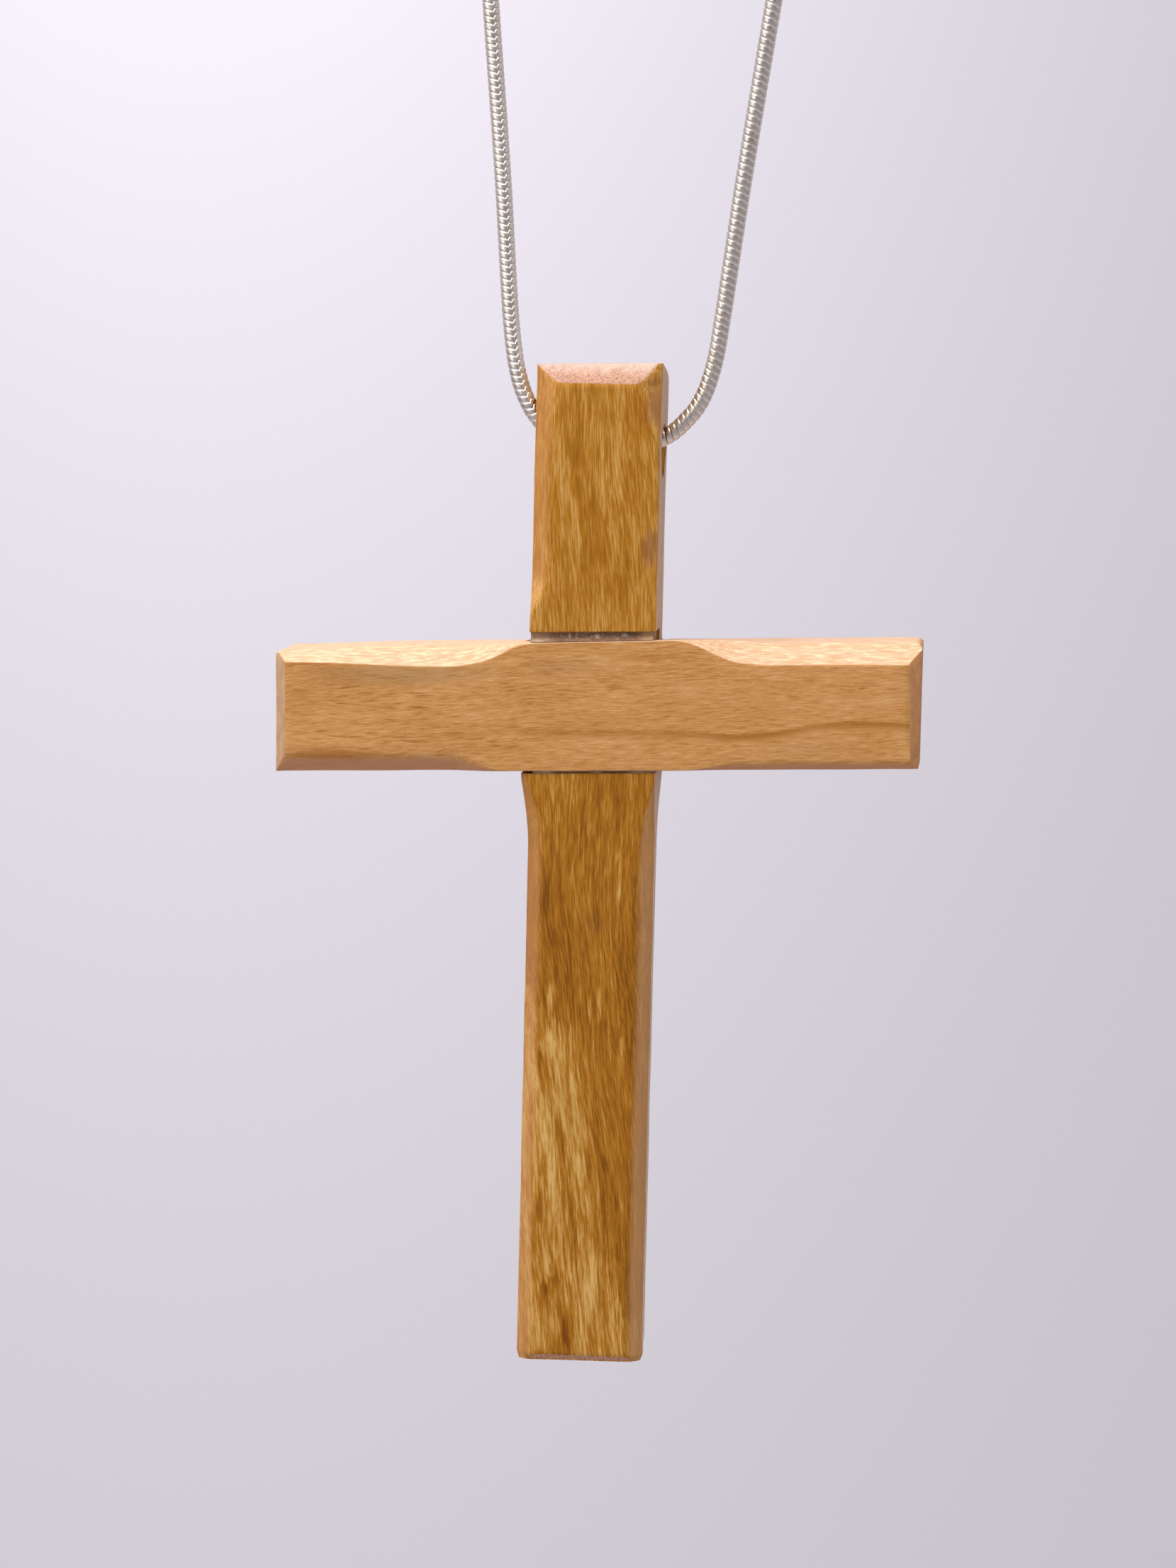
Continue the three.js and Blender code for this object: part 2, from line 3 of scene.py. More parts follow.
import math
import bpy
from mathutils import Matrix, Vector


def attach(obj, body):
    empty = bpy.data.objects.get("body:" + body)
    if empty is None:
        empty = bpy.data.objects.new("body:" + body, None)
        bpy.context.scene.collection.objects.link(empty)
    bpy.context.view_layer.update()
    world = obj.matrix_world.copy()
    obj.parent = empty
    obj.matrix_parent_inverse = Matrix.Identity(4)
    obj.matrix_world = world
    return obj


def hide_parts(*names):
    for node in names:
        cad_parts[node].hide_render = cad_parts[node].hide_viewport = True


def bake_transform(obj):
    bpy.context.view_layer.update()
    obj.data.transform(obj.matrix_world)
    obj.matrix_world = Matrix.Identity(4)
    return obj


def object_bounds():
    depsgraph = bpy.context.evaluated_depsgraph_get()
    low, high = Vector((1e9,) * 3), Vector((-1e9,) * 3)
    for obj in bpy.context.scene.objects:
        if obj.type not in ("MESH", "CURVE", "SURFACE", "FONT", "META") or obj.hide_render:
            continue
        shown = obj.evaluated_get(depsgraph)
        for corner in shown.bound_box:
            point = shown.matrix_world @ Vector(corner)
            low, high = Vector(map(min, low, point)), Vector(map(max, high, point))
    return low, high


bl_info = {
    "name": "Cross necklace",
    "version": (1, 0, 0),
    "blender": (4, 5, 0),
    "location": "View3D > Sidebar > Necklace",
    "description": "Carved wooden cross on a closed snake chain, with its clasp and the spare chain coiled",
    "category": "Object",
}

import bmesh
import bpy
import numpy as np
from mathutils import Matrix, Vector, noise

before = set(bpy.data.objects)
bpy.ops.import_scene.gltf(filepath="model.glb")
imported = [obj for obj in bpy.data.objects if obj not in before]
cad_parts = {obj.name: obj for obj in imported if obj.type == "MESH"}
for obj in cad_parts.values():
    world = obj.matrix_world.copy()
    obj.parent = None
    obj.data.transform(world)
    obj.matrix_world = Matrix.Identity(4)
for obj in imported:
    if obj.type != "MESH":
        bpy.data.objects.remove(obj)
MM = 0.001
CAD_BOX = [list(corner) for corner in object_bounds()]

# The pendant's own frame: X = 0 in the middle of the post, Y = 0 at half its thickness.
PENDANT_AT = Vector((-0.00198, 0.0, -0.07211))


def srgb(red, green, blue):
    """A colour as it is seen on a screen, from 0 to 255, as the linear values that Blender works with."""

    def linear(value):
        value /= 255
        return value / 12.92 if value <= 0.04045 else ((value + 0.055) / 1.055) ** 2.4

    return (linear(red), linear(green), linear(blue))


def rgba(colour):
    """A property's colour as a shader socket takes it."""
    return (*colour[:3], 1.0)


def number(name, description, default, **settings):
    """A number that the user may change."""
    return bpy.props.FloatProperty(name=name, description=description, default=default, **settings)


def length(name, description, default):
    """A size that the user may change, shown in the scene's units."""
    return number(name, description, default, min=0.0, precision=5, unit="LENGTH")


def colour(name, description, default):
    """A colour that the user may change."""
    return bpy.props.FloatVectorProperty(
        name=name, description=description, default=default, subtype="COLOR", size=3, min=0.0, max=1.0
    )


class ChainSettings(bpy.types.PropertyGroup):
    """Sizes and finish of the snake chain and its coil."""

    diameter: length("Diameter", "Thickness of the round snake chain", 0.0012)
    pitch: length("Link pitch", "Distance from one link to the next", 0.0004875)
    wave: length("Wave", "How far each link's edge swings along the chain", 0.000145)
    groove: length("Groove", "Depth of the groove between two links", 0.00005)
    peg: length("Peg diameter", "Thickness of the round peg that the coil hangs on", 0.0254)
    turn_pitch: length("Turn pitch", "Distance from one turn of the coil to the next", 0.00168)
    silver: colour("Silver", "Colour of the polished metal", srgb(234, 228, 216))


class CrossSettings(bpy.types.PropertyGroup):
    """Sizes and colours of the two pieces of wood and the glue."""

    thickness: length("Thickness", "Depth of the wood from front to back", 0.007)
    post_length: length("Post length", "Height of the upright piece", 0.071)
    post_width: length("Post width", "Width of the post above the crossbar", 0.0089)
    stock_width: length("Stock width", "Width of the post where the crossbar is let in", 0.00975)
    lower_width: length("Lower width", "Width of the post below the crossbar", 0.00907)
    bar_length: length("Crossbar length", "Length of the crossbar", 0.0456)
    bar_height: length("Crossbar height", "Height of the crossbar", 0.00884)
    corner: length("Corner radius", "Wear on the wood's crisp edges", 0.00011)
    worn_corner: length("Worn corner radius", "Wear on the post's chamfers", 0.0006)
    post_dark: colour("Post, dark grain", "Dark streaks of the post", srgb(124, 70, 6))
    post_mid: colour("Post, ground", "Colour of the post between its streaks", srgb(176, 115, 26))
    post_light: colour("Post, light grain", "Light streaks of the post", srgb(222, 178, 104))
    bar_dark: colour("Crossbar, dark grain", "Dark streaks of the crossbar", srgb(148, 92, 28))
    bar_mid: colour("Crossbar, ground", "Colour of the crossbar between its streaks", srgb(201, 143, 83))
    bar_light: colour("Crossbar, light grain", "Light streaks of the crossbar", srgb(224, 178, 122))
    end_grain: colour("End grain", "Colour of the sawn ends", srgb(206, 156, 130))
    glue: colour("Glue", "Colour of the dried glue over dark wood", srgb(130, 90, 58))


class StageSettings(bpy.types.PropertyGroup):
    """The camera's lens, the lamps and the backdrop."""

    distance: length("Camera distance", "From the camera to the middle of the view", 0.32)
    lens: number("Lens", "Focal length over a 36 mm high sensor", 104.16, unit="CAMERA")
    key_power: number("Overhead lamp", "Power of the soft lamp above the cross", 1.35, unit="POWER")
    fill_power: number("Side lamp", "Power of the soft lamp at the front left", 0.22, unit="POWER")
    room: number("Room light", "Strength of the even light from all round", 0.68, min=0.0)
    backdrop_glow: colour("Backdrop, bright", "Colour of the backdrop in the light", srgb(250, 244, 255))
    surroundings: colour("Surroundings", "Colour that metal and gloss see all round", srgb(212, 206, 212))
    backdrop_dim: colour("Backdrop, dim", "Colour of the backdrop away from the light", srgb(190, 184, 192))


def mesh_object(name, vertices, faces, smooth=True):
    """A new mesh object in the scene, its place in its mesh."""
    mesh = bpy.data.meshes.new(name)
    mesh.from_pydata([tuple(vertex) for vertex in vertices], [], [tuple(face) for face in faces])
    mesh.update()
    obj = bpy.data.objects.new(name, mesh)
    bpy.context.scene.collection.objects.link(obj)
    for polygon in mesh.polygons:
        polygon.use_smooth = smooth
    return obj


def tube_faces(rings, sides, closed=False):
    """The side faces of a skin over rings, and a cap at each end unless it closes on itself."""
    count = rings if closed else rings - 1
    first = np.arange(count)[:, None] * sides
    after = ((np.arange(count) + 1) % rings)[:, None] * sides
    side = np.arange(sides)[None, :]
    turn = (side + 1) % sides
    quads = np.stack([first + side, first + turn, after + turn, after + side], axis=-1)
    quads = quads.reshape(-1, 4).tolist()
    if closed:
        return quads
    last = (rings - 1) * sides
    return quads + [list(range(sides))[::-1], list(range(last, last + sides))]


def dress(name, material):
    """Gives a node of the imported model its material."""
    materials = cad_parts[name].data.materials
    materials.clear()
    materials.append(material)


class Nodes:
    """A node tree: each method adds a node and gives back the output that others link to."""

    def __init__(self, tree):
        self.tree = tree

    def put(self, socket, value):
        if isinstance(value, bpy.types.NodeSocket):
            self.tree.links.new(value, socket)
        elif socket.type == "RGBA":
            socket.default_value = rgba(value)
        else:
            socket.default_value = value

    def node(self, kind, inputs, output=0, **settings):
        node = self.tree.nodes.new(kind)
        for key, value in settings.items():
            setattr(node, key, value)
        for socket, value in inputs.items():
            self.put(node.inputs[socket], value)
        return node.outputs[output]

    def ray(self, kind):
        """Whether what asks for the colour is that kind of ray."""
        return self.node("ShaderNodeLightPath", {}, f"Is {kind} Ray")

    def mapped(self, vector, scale=(1, 1, 1), turn=(0, 0, 0), move=(0, 0, 0), kind="POINT"):
        inputs = {"Vector": vector, "Scale": scale, "Rotation": turn, "Location": move}
        return self.node("ShaderNodeMapping", inputs, vector_type=kind)

    def split(self, vector):
        node = self.tree.nodes.new("ShaderNodeSeparateXYZ")
        self.put(node.inputs[0], vector)
        return tuple(node.outputs)

    def joined(self, x, y, z):
        return self.node("ShaderNodeCombineXYZ", {0: x, 1: y, 2: z})

    def vector(self, operation, a, b=(0, 0, 0)):
        """A number out of one or two vectors."""
        return self.node("ShaderNodeVectorMath", {0: a, 1: b}, "Value", operation=operation)

    def noise(self, vector, scale=1.0, detail=3.0, roughness=0.55):
        inputs = {"Vector": vector, "Scale": scale, "Detail": detail, "Roughness": roughness}
        return self.node("ShaderNodeTexNoise", inputs)

    def grained(self, vector, scale, detail, roughness=0.55, move=(0, 0, 0)):
        """Noise that changes so many times per millimetre along X, Y and Z."""
        return self.noise(self.mapped(vector, scale, move=move), 1.0, detail, roughness)

    def math(self, operation, a, b=0.0):
        return self.node("ShaderNodeMath", {0: a, 1: b}, operation=operation)

    def sum(self, a, b):
        return self.math("ADD", a, b)

    def less(self, a, b):
        return self.math("SUBTRACT", a, b)

    def most(self, a, b):
        return self.math("MAXIMUM", a, b)

    def size(self, value):
        """The value without its sign."""
        return self.math("ABSOLUTE", value)

    def scaled(self, value, factor, offset=0.0):
        """The value times the factor, and the offset added."""
        return self.node("ShaderNodeMath", {0: value, 1: factor, 2: offset}, operation="MULTIPLY_ADD")

    def product(self, value, *others):
        for other in others:
            value = self.math("MULTIPLY", value, other)
        return value

    def span(self, value, low, high, start=0.0, end=1.0, kind="LINEAR"):
        """From start to end as the value goes from low to high."""
        inputs = {"Value": value, "From Min": low, "From Max": high, "To Min": start, "To Max": end}
        return self.node("ShaderNodeMapRange", inputs, interpolation_type=kind)

    def ease(self, value, low, high, start=0.0, end=1.0):
        """The same with soft ends."""
        return self.span(value, low, high, start, end, "SMOOTHSTEP")

    def course(self, value, points):
        """A broken line through points, each a value and what it gives, level beyond its two ends."""
        total = points[0][1]
        for (a, low), (b, high) in zip(points, points[1:]):
            total = self.sum(self.span(value, a, b, 0.0, high - low), total)
        return total

    def ovals(self, place, spots):
        """Ovals in the plane of the front, each strongest in its middle.

        A spot is x and z of its middle, half its width and height, its turn in degrees and its strength.
        """
        total = 0.0
        for x, z, width, height, turn, strength in spots:
            turned = (0, math.radians(turn), 0)
            local = self.mapped(place, (width, 100, height), turned, (x, 0, z), "TEXTURE")
            value = self.scaled(self.ease(self.vector("LENGTH", local), 1.0, 0.3), strength)
            total = self.most(value, total)
        return total

    def ramp(self, value, stops):
        """A colour for a value from 0 to 1, by stops of a place and a colour."""
        node = self.tree.nodes.new("ShaderNodeValToRGB")
        elements = node.color_ramp.elements
        elements.remove(elements[1])
        elements[0].position, elements[0].color = stops[0][0], rgba(stops[0][1])
        for where, shade in stops[1:]:
            elements.new(where).color = rgba(shade)
        self.put(node.inputs[0], value)
        return node.outputs[0]

    def between(self, share, a, b):
        return self.node("ShaderNodeMix", {0: share, 2: a, 3: b})

    def mix(self, share, a, b, blend="MIX"):
        inputs = {0: share, 6: a, 7: b}
        return self.node("ShaderNodeMix", inputs, 2, data_type="RGBA", blend_type=blend)


class Finish(Nodes):
    """A material's nodes."""

    def __init__(self, name):
        self.material = bpy.data.materials.new(name)
        self.material.use_nodes = True
        super().__init__(self.material.node_tree)
        self.skin = self.tree.nodes["Principled BSDF"]

    def place(self, origin=(0, 0, 0), turn=0.0):
        """Where a point lies at rest, in millimetres, in a frame at that origin that is turned about Y."""
        spot = self.node("ShaderNodeTexCoord", {}, "Object")
        move = Matrix.Rotation(turn, 3, "Y") @ Vector(origin) / -MM
        return self.mapped(spot, (1 / MM, 1 / MM, 1 / MM), (0, turn, 0), move)

    def facing(self):
        """Which way the surface faces, on the object itself."""
        return self.split(self.node("ShaderNodeTexCoord", {}, "Normal"))

    def bump(self, height, strength, distance):
        return self.node("ShaderNodeBump", {"Height": height, "Strength": strength, "Distance": distance})

    def wear(self, **inputs):
        """Sets the shader's own sockets; an underscore in a name stands for a space."""
        for key, value in inputs.items():
            self.put(self.skin.inputs[key.replace("_", " ")], value)


SCRATCHES = (14, 14, 3)
TARNISH = (0.86, 0.79, 0.68)


def silver_finish(name, settings, roughness):
    """Polished silver, a little hazy, with fine scratches and a warm tarnish in places."""
    finish = Finish(name)
    place = finish.place()
    haze = finish.noise(place, scale=2.2, detail=4.0)
    scratch = finish.grained(place, SCRATCHES, 2.0)
    tarnish = finish.ease(finish.noise(place, scale=0.7), 0.55, 0.8)
    warm = [channel * shade for channel, shade in zip(settings.silver, TARNISH)]
    finish.wear(
        Base_Color=finish.mix(tarnish, settings.silver, warm),
        Metallic=1.0,
        Roughness=finish.ease(haze, 0.3, 0.75, roughness * 0.7, roughness * 1.6),
        Normal=finish.bump(scratch, 0.12, 0.00001),
    )
    return finish.material


# The chain's route in millimetres, as the solids have it, in the pendant's frame: down the right strand,
# through the hole and up the left one.
RIGHT_STRAND = (
    (11.51, -2.30, 31.40), (9.72, -1.39, 19.20), (8.41, -0.62, 9.30), (8.04, -0.42, 6.80),
    (7.70, -0.31, 5.35), (7.30, -0.22, 4.12), (6.72, -0.13, 3.00), (6.02, -0.07, 2.14), (5.24, -0.03, 1.37),
)
THROUGH_HOLE = (
    (4.42, 0.00, 0.84), (3.00, 0.00, 0.36), (1.60, 0.00, 0.10), (0.20, 0.00, 0.04), (-1.20, 0.00, 0.18),
    (-2.60, 0.00, 0.53), (-3.40, 0.00, 0.91), (-4.00, 0.01, 1.39), (-4.42, 0.02, 1.90),
)
LEFT_STRAND = (
    (-4.90, 0.05, 2.50), (-5.42, 0.10, 3.42), (-5.82, 0.16, 4.42), (-6.10, 0.22, 5.43), (-6.30, 0.29, 6.45),
    (-6.64, 0.45, 8.95), (-7.50, 1.10, 18.90), (-8.73, 1.92, 31.30),
)
FULL_TURNS, LAST_TURN_ASIDE = 4, 0.00075
COIL_TAIL, IN_CAP = 0.0015, 0.0023
LOWER_MOUTH, MOUTH_LEAD = 0.02542, 0.0012
TURN_POINTS, STRAND_POINTS = 48, 12


def in_pendant(points):
    """Points of the route in the frame's own metres."""
    return [Vector([value * MM for value in point]) + PENDANT_AT for point in points]


def smooth_through(points, steps):
    """A centripetal spline through the points, with that many steps between two of them."""
    points = [2 * points[0] - points[1], *points, 2 * points[-1] - points[-2]]
    out = []
    for a, b, c, d in zip(points, points[1:], points[2:], points[3:]):
        ab, bc, cd = (math.sqrt((q - p).length) for p, q in ((a, b), (b, c), (c, d)))
        leave = bc * ((b - a) / ab - (c - a) / (ab + bc) + (c - b) / bc)
        arrive = bc * ((c - b) / bc - (d - b) / (bc + cd) + (d - c) / cd)
        for step in range(steps):
            t = step / steps
            out.append(
                b * (2 * t**3 - 3 * t**2 + 1)
                + leave * (t**3 - 2 * t**2 + t)
                + c * (3 * t**2 - 2 * t**3)
                + arrive * (t**3 - t**2)
            )
    return out + [points[-2]]


class Coil:
    """The turns round the peg, and where each strand leaves them."""

    def __init__(self, chain):
        self.pitch = chain.turn_pitch
        self.radius = (chain.peg + chain.diameter) / 2
        self.centre = Vector((0.0, 0.0, -chain.peg / 2))
        self.left_top = in_pendant(LEFT_STRAND)[-1]
        self.right_top = in_pendant(RIGHT_STRAND)[0]
        self.start = self.touch_angle(self.left_top, -1) + 2 * math.pi
        self.turns = FULL_TURNS + (self.start - self.touch_angle(self.right_top, 1)) / (2 * math.pi)
        self.left_touch = self.point(0)
        self.right_touch = self.point(self.turns)
        self.left_down = (self.left_top - self.left_touch).normalized()
        self.right_down = (self.right_top - self.right_touch).normalized()

    def touch_angle(self, seen_from, side):
        x, z = seen_from.x - self.centre.x, seen_from.z - self.centre.z
        return math.atan2(z, x) + side * math.acos(self.radius / math.hypot(x, z))

    def point(self, turns):
        angle = self.start - turns * 2 * math.pi
        aside = LAST_TURN_ASIDE * soft(turns - self.turns + 1)
        return Vector(
            (
                self.centre.x + self.radius * math.cos(angle),
                self.pitch * (self.turns / 2 - turns) - aside,
                self.centre.z + self.radius * math.sin(angle),
            )
        )

    def on_right(self, distance):
        return self.right_touch + self.right_down * distance

    def route(self):
        """The free stretch from the lower end cap, then the coil up to the upper end cap."""
        mouth = [self.on_right(LOWER_MOUTH - IN_CAP), self.on_right(LOWER_MOUTH + MOUTH_LEAD)]
        strands = in_pendant([*RIGHT_STRAND, *THROUGH_HOLE, *LEFT_STRAND])
        free = smooth_through([*mouth, *strands, self.left_touch], STRAND_POINTS)
        count = round(self.turns * TURN_POINTS)
        wound = [self.point(self.turns * step / count) for step in range(1, count + 1)]
        return free, [free[-1], *wound, self.on_right(COIL_TAIL / 2), self.on_right(COIL_TAIL + IN_CAP)]


def snake_skin(points, chain, sides, profile, seamed):
    """Vertices of a snake chain along a route: link after link, each ring waved along the chain."""
    points = np.array([tuple(point) for point in points])
    steps = np.linalg.norm(np.diff(points, axis=0), axis=1)
    along = np.concatenate([[0.0], np.cumsum(steps)])
    links = round(along[-1] / chain.pitch)
    pitch = along[-1] / links
    stages = [(index + t) * pitch for index in range(links) for t, _ in profile] + [along[-1]]
    depths = [depth for _ in range(links) for _, depth in profile] + [profile[0][1]]
    stages, depths = np.array(stages), np.array(depths)

    def on_route(distances):
        return np.stack([np.interp(distances, along, axis) for axis in points.T], axis=1)

    def unit(vectors):
        return vectors / np.linalg.norm(vectors, axis=1, keepdims=True)

    where = on_route(stages)
    forward = unit(on_route(stages + pitch / 2) - on_route(stages - pitch / 2))
    to_front = np.array([0.0, -1.0, 0.0])
    front = unit(to_front - (forward @ to_front)[:, None] * forward)
    side = np.cross(forward, front)
    turn = np.arange(sides) / sides * 2 * math.pi
    radius = chain.diameter / 2 - depths * chain.groove
    seam = SEAM_DEPTH * np.exp(-(((np.sin(turn) - SEAM_AT) / SEAM_WIDTH) ** 2))
    edges = {name: chain.wave * np.interp(np.sin(turn), *edge) for name, edge in LINK_EDGES.items()}
    in_front = (stages / along[-1] < HOLE_SHARE)[:, None] & seamed
    swing = np.where(in_front, edges["right"], edges["left"])
    radius = radius[:, None] - np.where(in_front, 0.0, seam)
    fade = np.clip(np.minimum(stages, along[-1] - stages) / (2 * chain.wave), 0, 1)[:, None]
    rings = (
        where[:, None, :]
        + forward[:, None, :] * (swing * fade)[:, :, None]
        + front[:, None, :] * (radius * np.cos(turn))[:, :, None]
        + side[:, None, :] * (radius * np.sin(turn))[:, :, None]
    )
    return rings.reshape(-1, 3), tube_faces(len(stages), sides)


# Along one link: how far, and how deep its groove is there, both as shares.
FINE_LINK = (
    (0.0, 1.0), (0.05, 0.6), (0.1, 0.3), (0.18, 0.08), (0.32, 0.0),
    (0.68, 0.0), (0.82, 0.08), (0.9, 0.3), (0.95, 0.6),
)
PLAIN_LINK = ((0.0, 1.0), (0.12, 0.1), (0.5, 0.0), (0.88, 0.1))
FINE_SIDES, PLAIN_SIDES = 48, 16
# How each link's edge runs from one side of the chain to the other: across it, and as a share of the wave.
LINK_EDGES = {
    "right": ((-1.0, 1.0), (0.9, -1.05)),
    "left": ((-1.0, 0.34, 0.46, 1.0), (1.0, -1.15, 0.35, 0.7)),
}
SEAM_AT, SEAM_WIDTH, SEAM_DEPTH = 0.4, 0.06, 0.00003
HOLE_SHARE = 0.45


class NECKLACE_OT_chain(bpy.types.Operator):
    """Make the snake chain: the free stretch through the cross and the coil on the peg"""

    bl_idname = "necklace.chain"
    bl_label = "Snake chain"

    def execute(self, context):
        chain = context.scene.necklace_chain
        free, wound = Coil(chain).route()
        run, run_faces = snake_skin(free, chain, FINE_SIDES, FINE_LINK, True)
        coil, coil_faces = snake_skin(wound, chain, PLAIN_SIDES, PLAIN_LINK, False)
        faces = run_faces + [[len(run) + corner for corner in face] for face in coil_faces]
        obj = mesh_object("snake_chain", np.concatenate([run, coil]), faces)
        obj.data.materials.append(silver_finish("polished_silver", chain, roughness=0.24))
        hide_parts("chain_run", "chain_coil")
        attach(obj, "chain")
        return {"FINISHED"}


POLISHED = (
    "end_cap_lower", "end_cap_upper", "jump_ring_lower", "jump_ring_upper",
    "clasp_body", "clasp_lever", "clasp_pin",
)
WIRE = srgb(140, 140, 142), srgb(176, 176, 178)
PAPER = srgb(214, 206, 192), srgb(240, 236, 228)


class NECKLACE_OT_fittings(bpy.types.Operator):
    """Finish the end caps, the jump rings, the clasp and the tie"""

    bl_idname = "necklace.fittings"
    bl_label = "Fittings"

    def execute(self, context):
        polished = silver_finish("polished_fittings", context.scene.necklace_chain, roughness=0.12)
        for name in POLISHED:
            dress(name, polished)
        self.spring()
        dress("coil_tie", self.band())
        return {"FINISHED"}

    def spring(self):
        """The lever's spring, which the lever presses together, made from the imported spring's corners and
        faces, in drawn wire.
        """
        points = self.corners("clasp_spring")
        faces = [polygon.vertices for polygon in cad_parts["clasp_spring"].data.polygons]
        obj = mesh_object("lever_spring", points, faces)
        obj.data.materials.append(self.wire())
        middle = points.mean(axis=0)
        axis = np.linalg.svd(points - middle)[2][0]
        axis *= np.sign((self.corners("clasp_pin").mean(axis=0) - middle) @ axis)
        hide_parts("clasp_spring")
        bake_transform(obj)

    def corners(self, name):
        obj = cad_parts[name]
        return np.array([tuple(obj.matrix_world @ vertex.co) for vertex in obj.data.vertices])

    def wire(self):
        finish = Finish("spring_wire")
        drawn = finish.noise(finish.place(), scale=9.0, detail=2.0)
        finish.wear(
            Base_Color=finish.mix(drawn, *WIRE),
            Metallic=1.0,
            Roughness=finish.ease(drawn, 0.3, 0.7, 0.25, 0.45),
        )
        return finish.material

    def band(self):
        finish = Finish("paper_band")
        fibre = finish.noise(finish.place(), scale=6.0, detail=5.0, roughness=0.7)
        finish.wear(
            Base_Color=finish.mix(fibre, *PAPER),
            Roughness=0.85,
            Normal=finish.bump(fibre, 0.3, 0.00003),
        )
        return finish.material


LARGEST_SHARE = 0.45


def rounded(corners, radii, arc_steps, edge_steps):
    """An outline with rounded corners and divided edges, the same number of points whatever its shape."""
    corners = [np.array(corner) for corner in corners]
    points = []
    count = len(corners)
    ends = []
    for index, (corner, radius) in enumerate(zip(corners, radii)):
        before, after = corners[index - 1], corners[(index + 1) % count]
        into, out = corner - before, after - corner
        into_length, out_length = np.linalg.norm(into), np.linalg.norm(out)
        reach = min(radius, LARGEST_SHARE * into_length, LARGEST_SHARE * out_length)
        ends.append((corner - into / into_length * reach, corner, corner + out / out_length * reach))
    for index, (start, corner, end) in enumerate(ends):
        for step in range(arc_steps + 1):
            t = step / arc_steps
            points.append(start * (1 - t) ** 2 + corner * 2 * t * (1 - t) + end * t**2)
        after = ends[(index + 1) % count][0]
        for step in range(1, edge_steps[index]):
            t = step / edge_steps[index]
            points.append(end * (1 - t) + after * t)
    return points


def carved_stick(name, outlines, move):
    """A skin over the sections of a hand-cut stick, each point a little off its plane."""
    points = [point for outline in outlines for point in outline]
    vertices = [move @ (point + noise.noise_vector(point / UNEVEN_SIZE) * UNEVEN) for point in points]
    return mesh_object(name, vertices, tube_faces(len(outlines), len(outlines[0])))


def carved(obj, cutters):
    """The object with the cutters taken out of it, as a plain mesh."""
    for cutter in cutters:
        cut = obj.modifiers.new("cut", "BOOLEAN")
        cut.operation = "DIFFERENCE"
        cut.solver = "EXACT"
        cut.object = cutter
    depsgraph = bpy.context.evaluated_depsgraph_get()
    mesh = bpy.data.meshes.new_from_object(obj.evaluated_get(depsgraph))
    obj.modifiers.clear()
    old = obj.data
    obj.data = mesh
    bpy.data.meshes.remove(old)
    for cutter in cutters:
        bpy.data.objects.remove(cutter)
    obj.data.validate()
    return obj


def worn_edges(obj):
    """Breaks the sharp edges that the saw and the drill left."""
    bm = bmesh.new()
    bm.from_mesh(obj.data)
    bmesh.ops.remove_doubles(bm, verts=bm.verts, dist=SAME_POINT)
    sharp = [edge for edge in bm.edges if len(edge.link_faces) == 2 and edge.calc_face_angle() > SHARP_ANGLE]
    bmesh.ops.bevel(
        bm, geom=sharp, offset=SAW_WEAR, offset_type="OFFSET", segments=2, profile=0.6, affect="EDGES",
        clamp_overlap=True,
    )
    bm.to_mesh(obj.data)
    bm.free()


def block(low, high, move):
    """A plain box between two corners, put in its place, to cut with."""
    bm = bmesh.new()
    bmesh.ops.create_cube(bm, size=1.0)
    size = [b - a for a, b in zip(low, high)]
    matrix = move @ Matrix.Translation([(a + b) / 2 for a, b in zip(low, high)])
    bmesh.ops.transform(bm, matrix=matrix @ Matrix.Diagonal((*size, 1.0)), verts=bm.verts)
    mesh = bpy.data.meshes.new("cutter")
    bm.to_mesh(mesh)
    bm.free()
    obj = bpy.data.objects.new("cutter", mesh)
    bpy.context.scene.collection.objects.link(obj)
    return obj


# Hand-cut surfaces: how far apart their waves are and how high, and the wear of sawn and drilled edges.
UNEVEN_SIZE, UNEVEN = 0.004, 0.00003
SAW_WEAR, SHARP_ANGLE, SAME_POINT = 0.00004, math.radians(50), 1e-7
BACK_EASE, EDGE_EASE = 0.00025, 0.00004
RING_STEP = 0.0004
END_STATIONS = (0.0, 0.03, 0.07, 0.13, 0.22, 0.33, 0.46, 0.6, 0.75, 0.88)
# The post, in the pendant's frame. A tilt is the slope of an end over its width.
POST_TOP = 0.00595
TOP_BEVEL, TOP_BEVEL_HEIGHT, TOP_TILT = 0.0015, 0.00135, 0.03
TOP_CORNER_CUT = 0.00047
LEFT_RUN_OUT, RIGHT_RUN_OUT = 1.1, 1.5
CORNER_WEAR, CORNER_WEAR_HEIGHT = 0.0005, 0.0011
UPPER_CHAMFER, CHAMFER_FLARE = 0.00103, 0.00047
CORNER_CUT, CORNER_REACH = 0.00162, 0.0024
STOP_LENGTH, STOP_ABOVE_BAR = 0.0034, 0.002
SHOULDER_LENGTH, SHOULDER_BELOW_BAR = 0.0051, 0.0007
SHOULDER_CHAMFER, SHOULDER_TRIM = 0.00042, 0.0002
STOCK_START = 0.0008
LOWER_ASIDE, LOWER_LEAN, LOWER_CHAMFER = 0.00022, 0.00035, 0.00092
BOTTOM_BEVEL, BOTTOM_BEVEL_HEIGHT, BOTTOM_TILT = 0.0003, 0.00055, 0.015
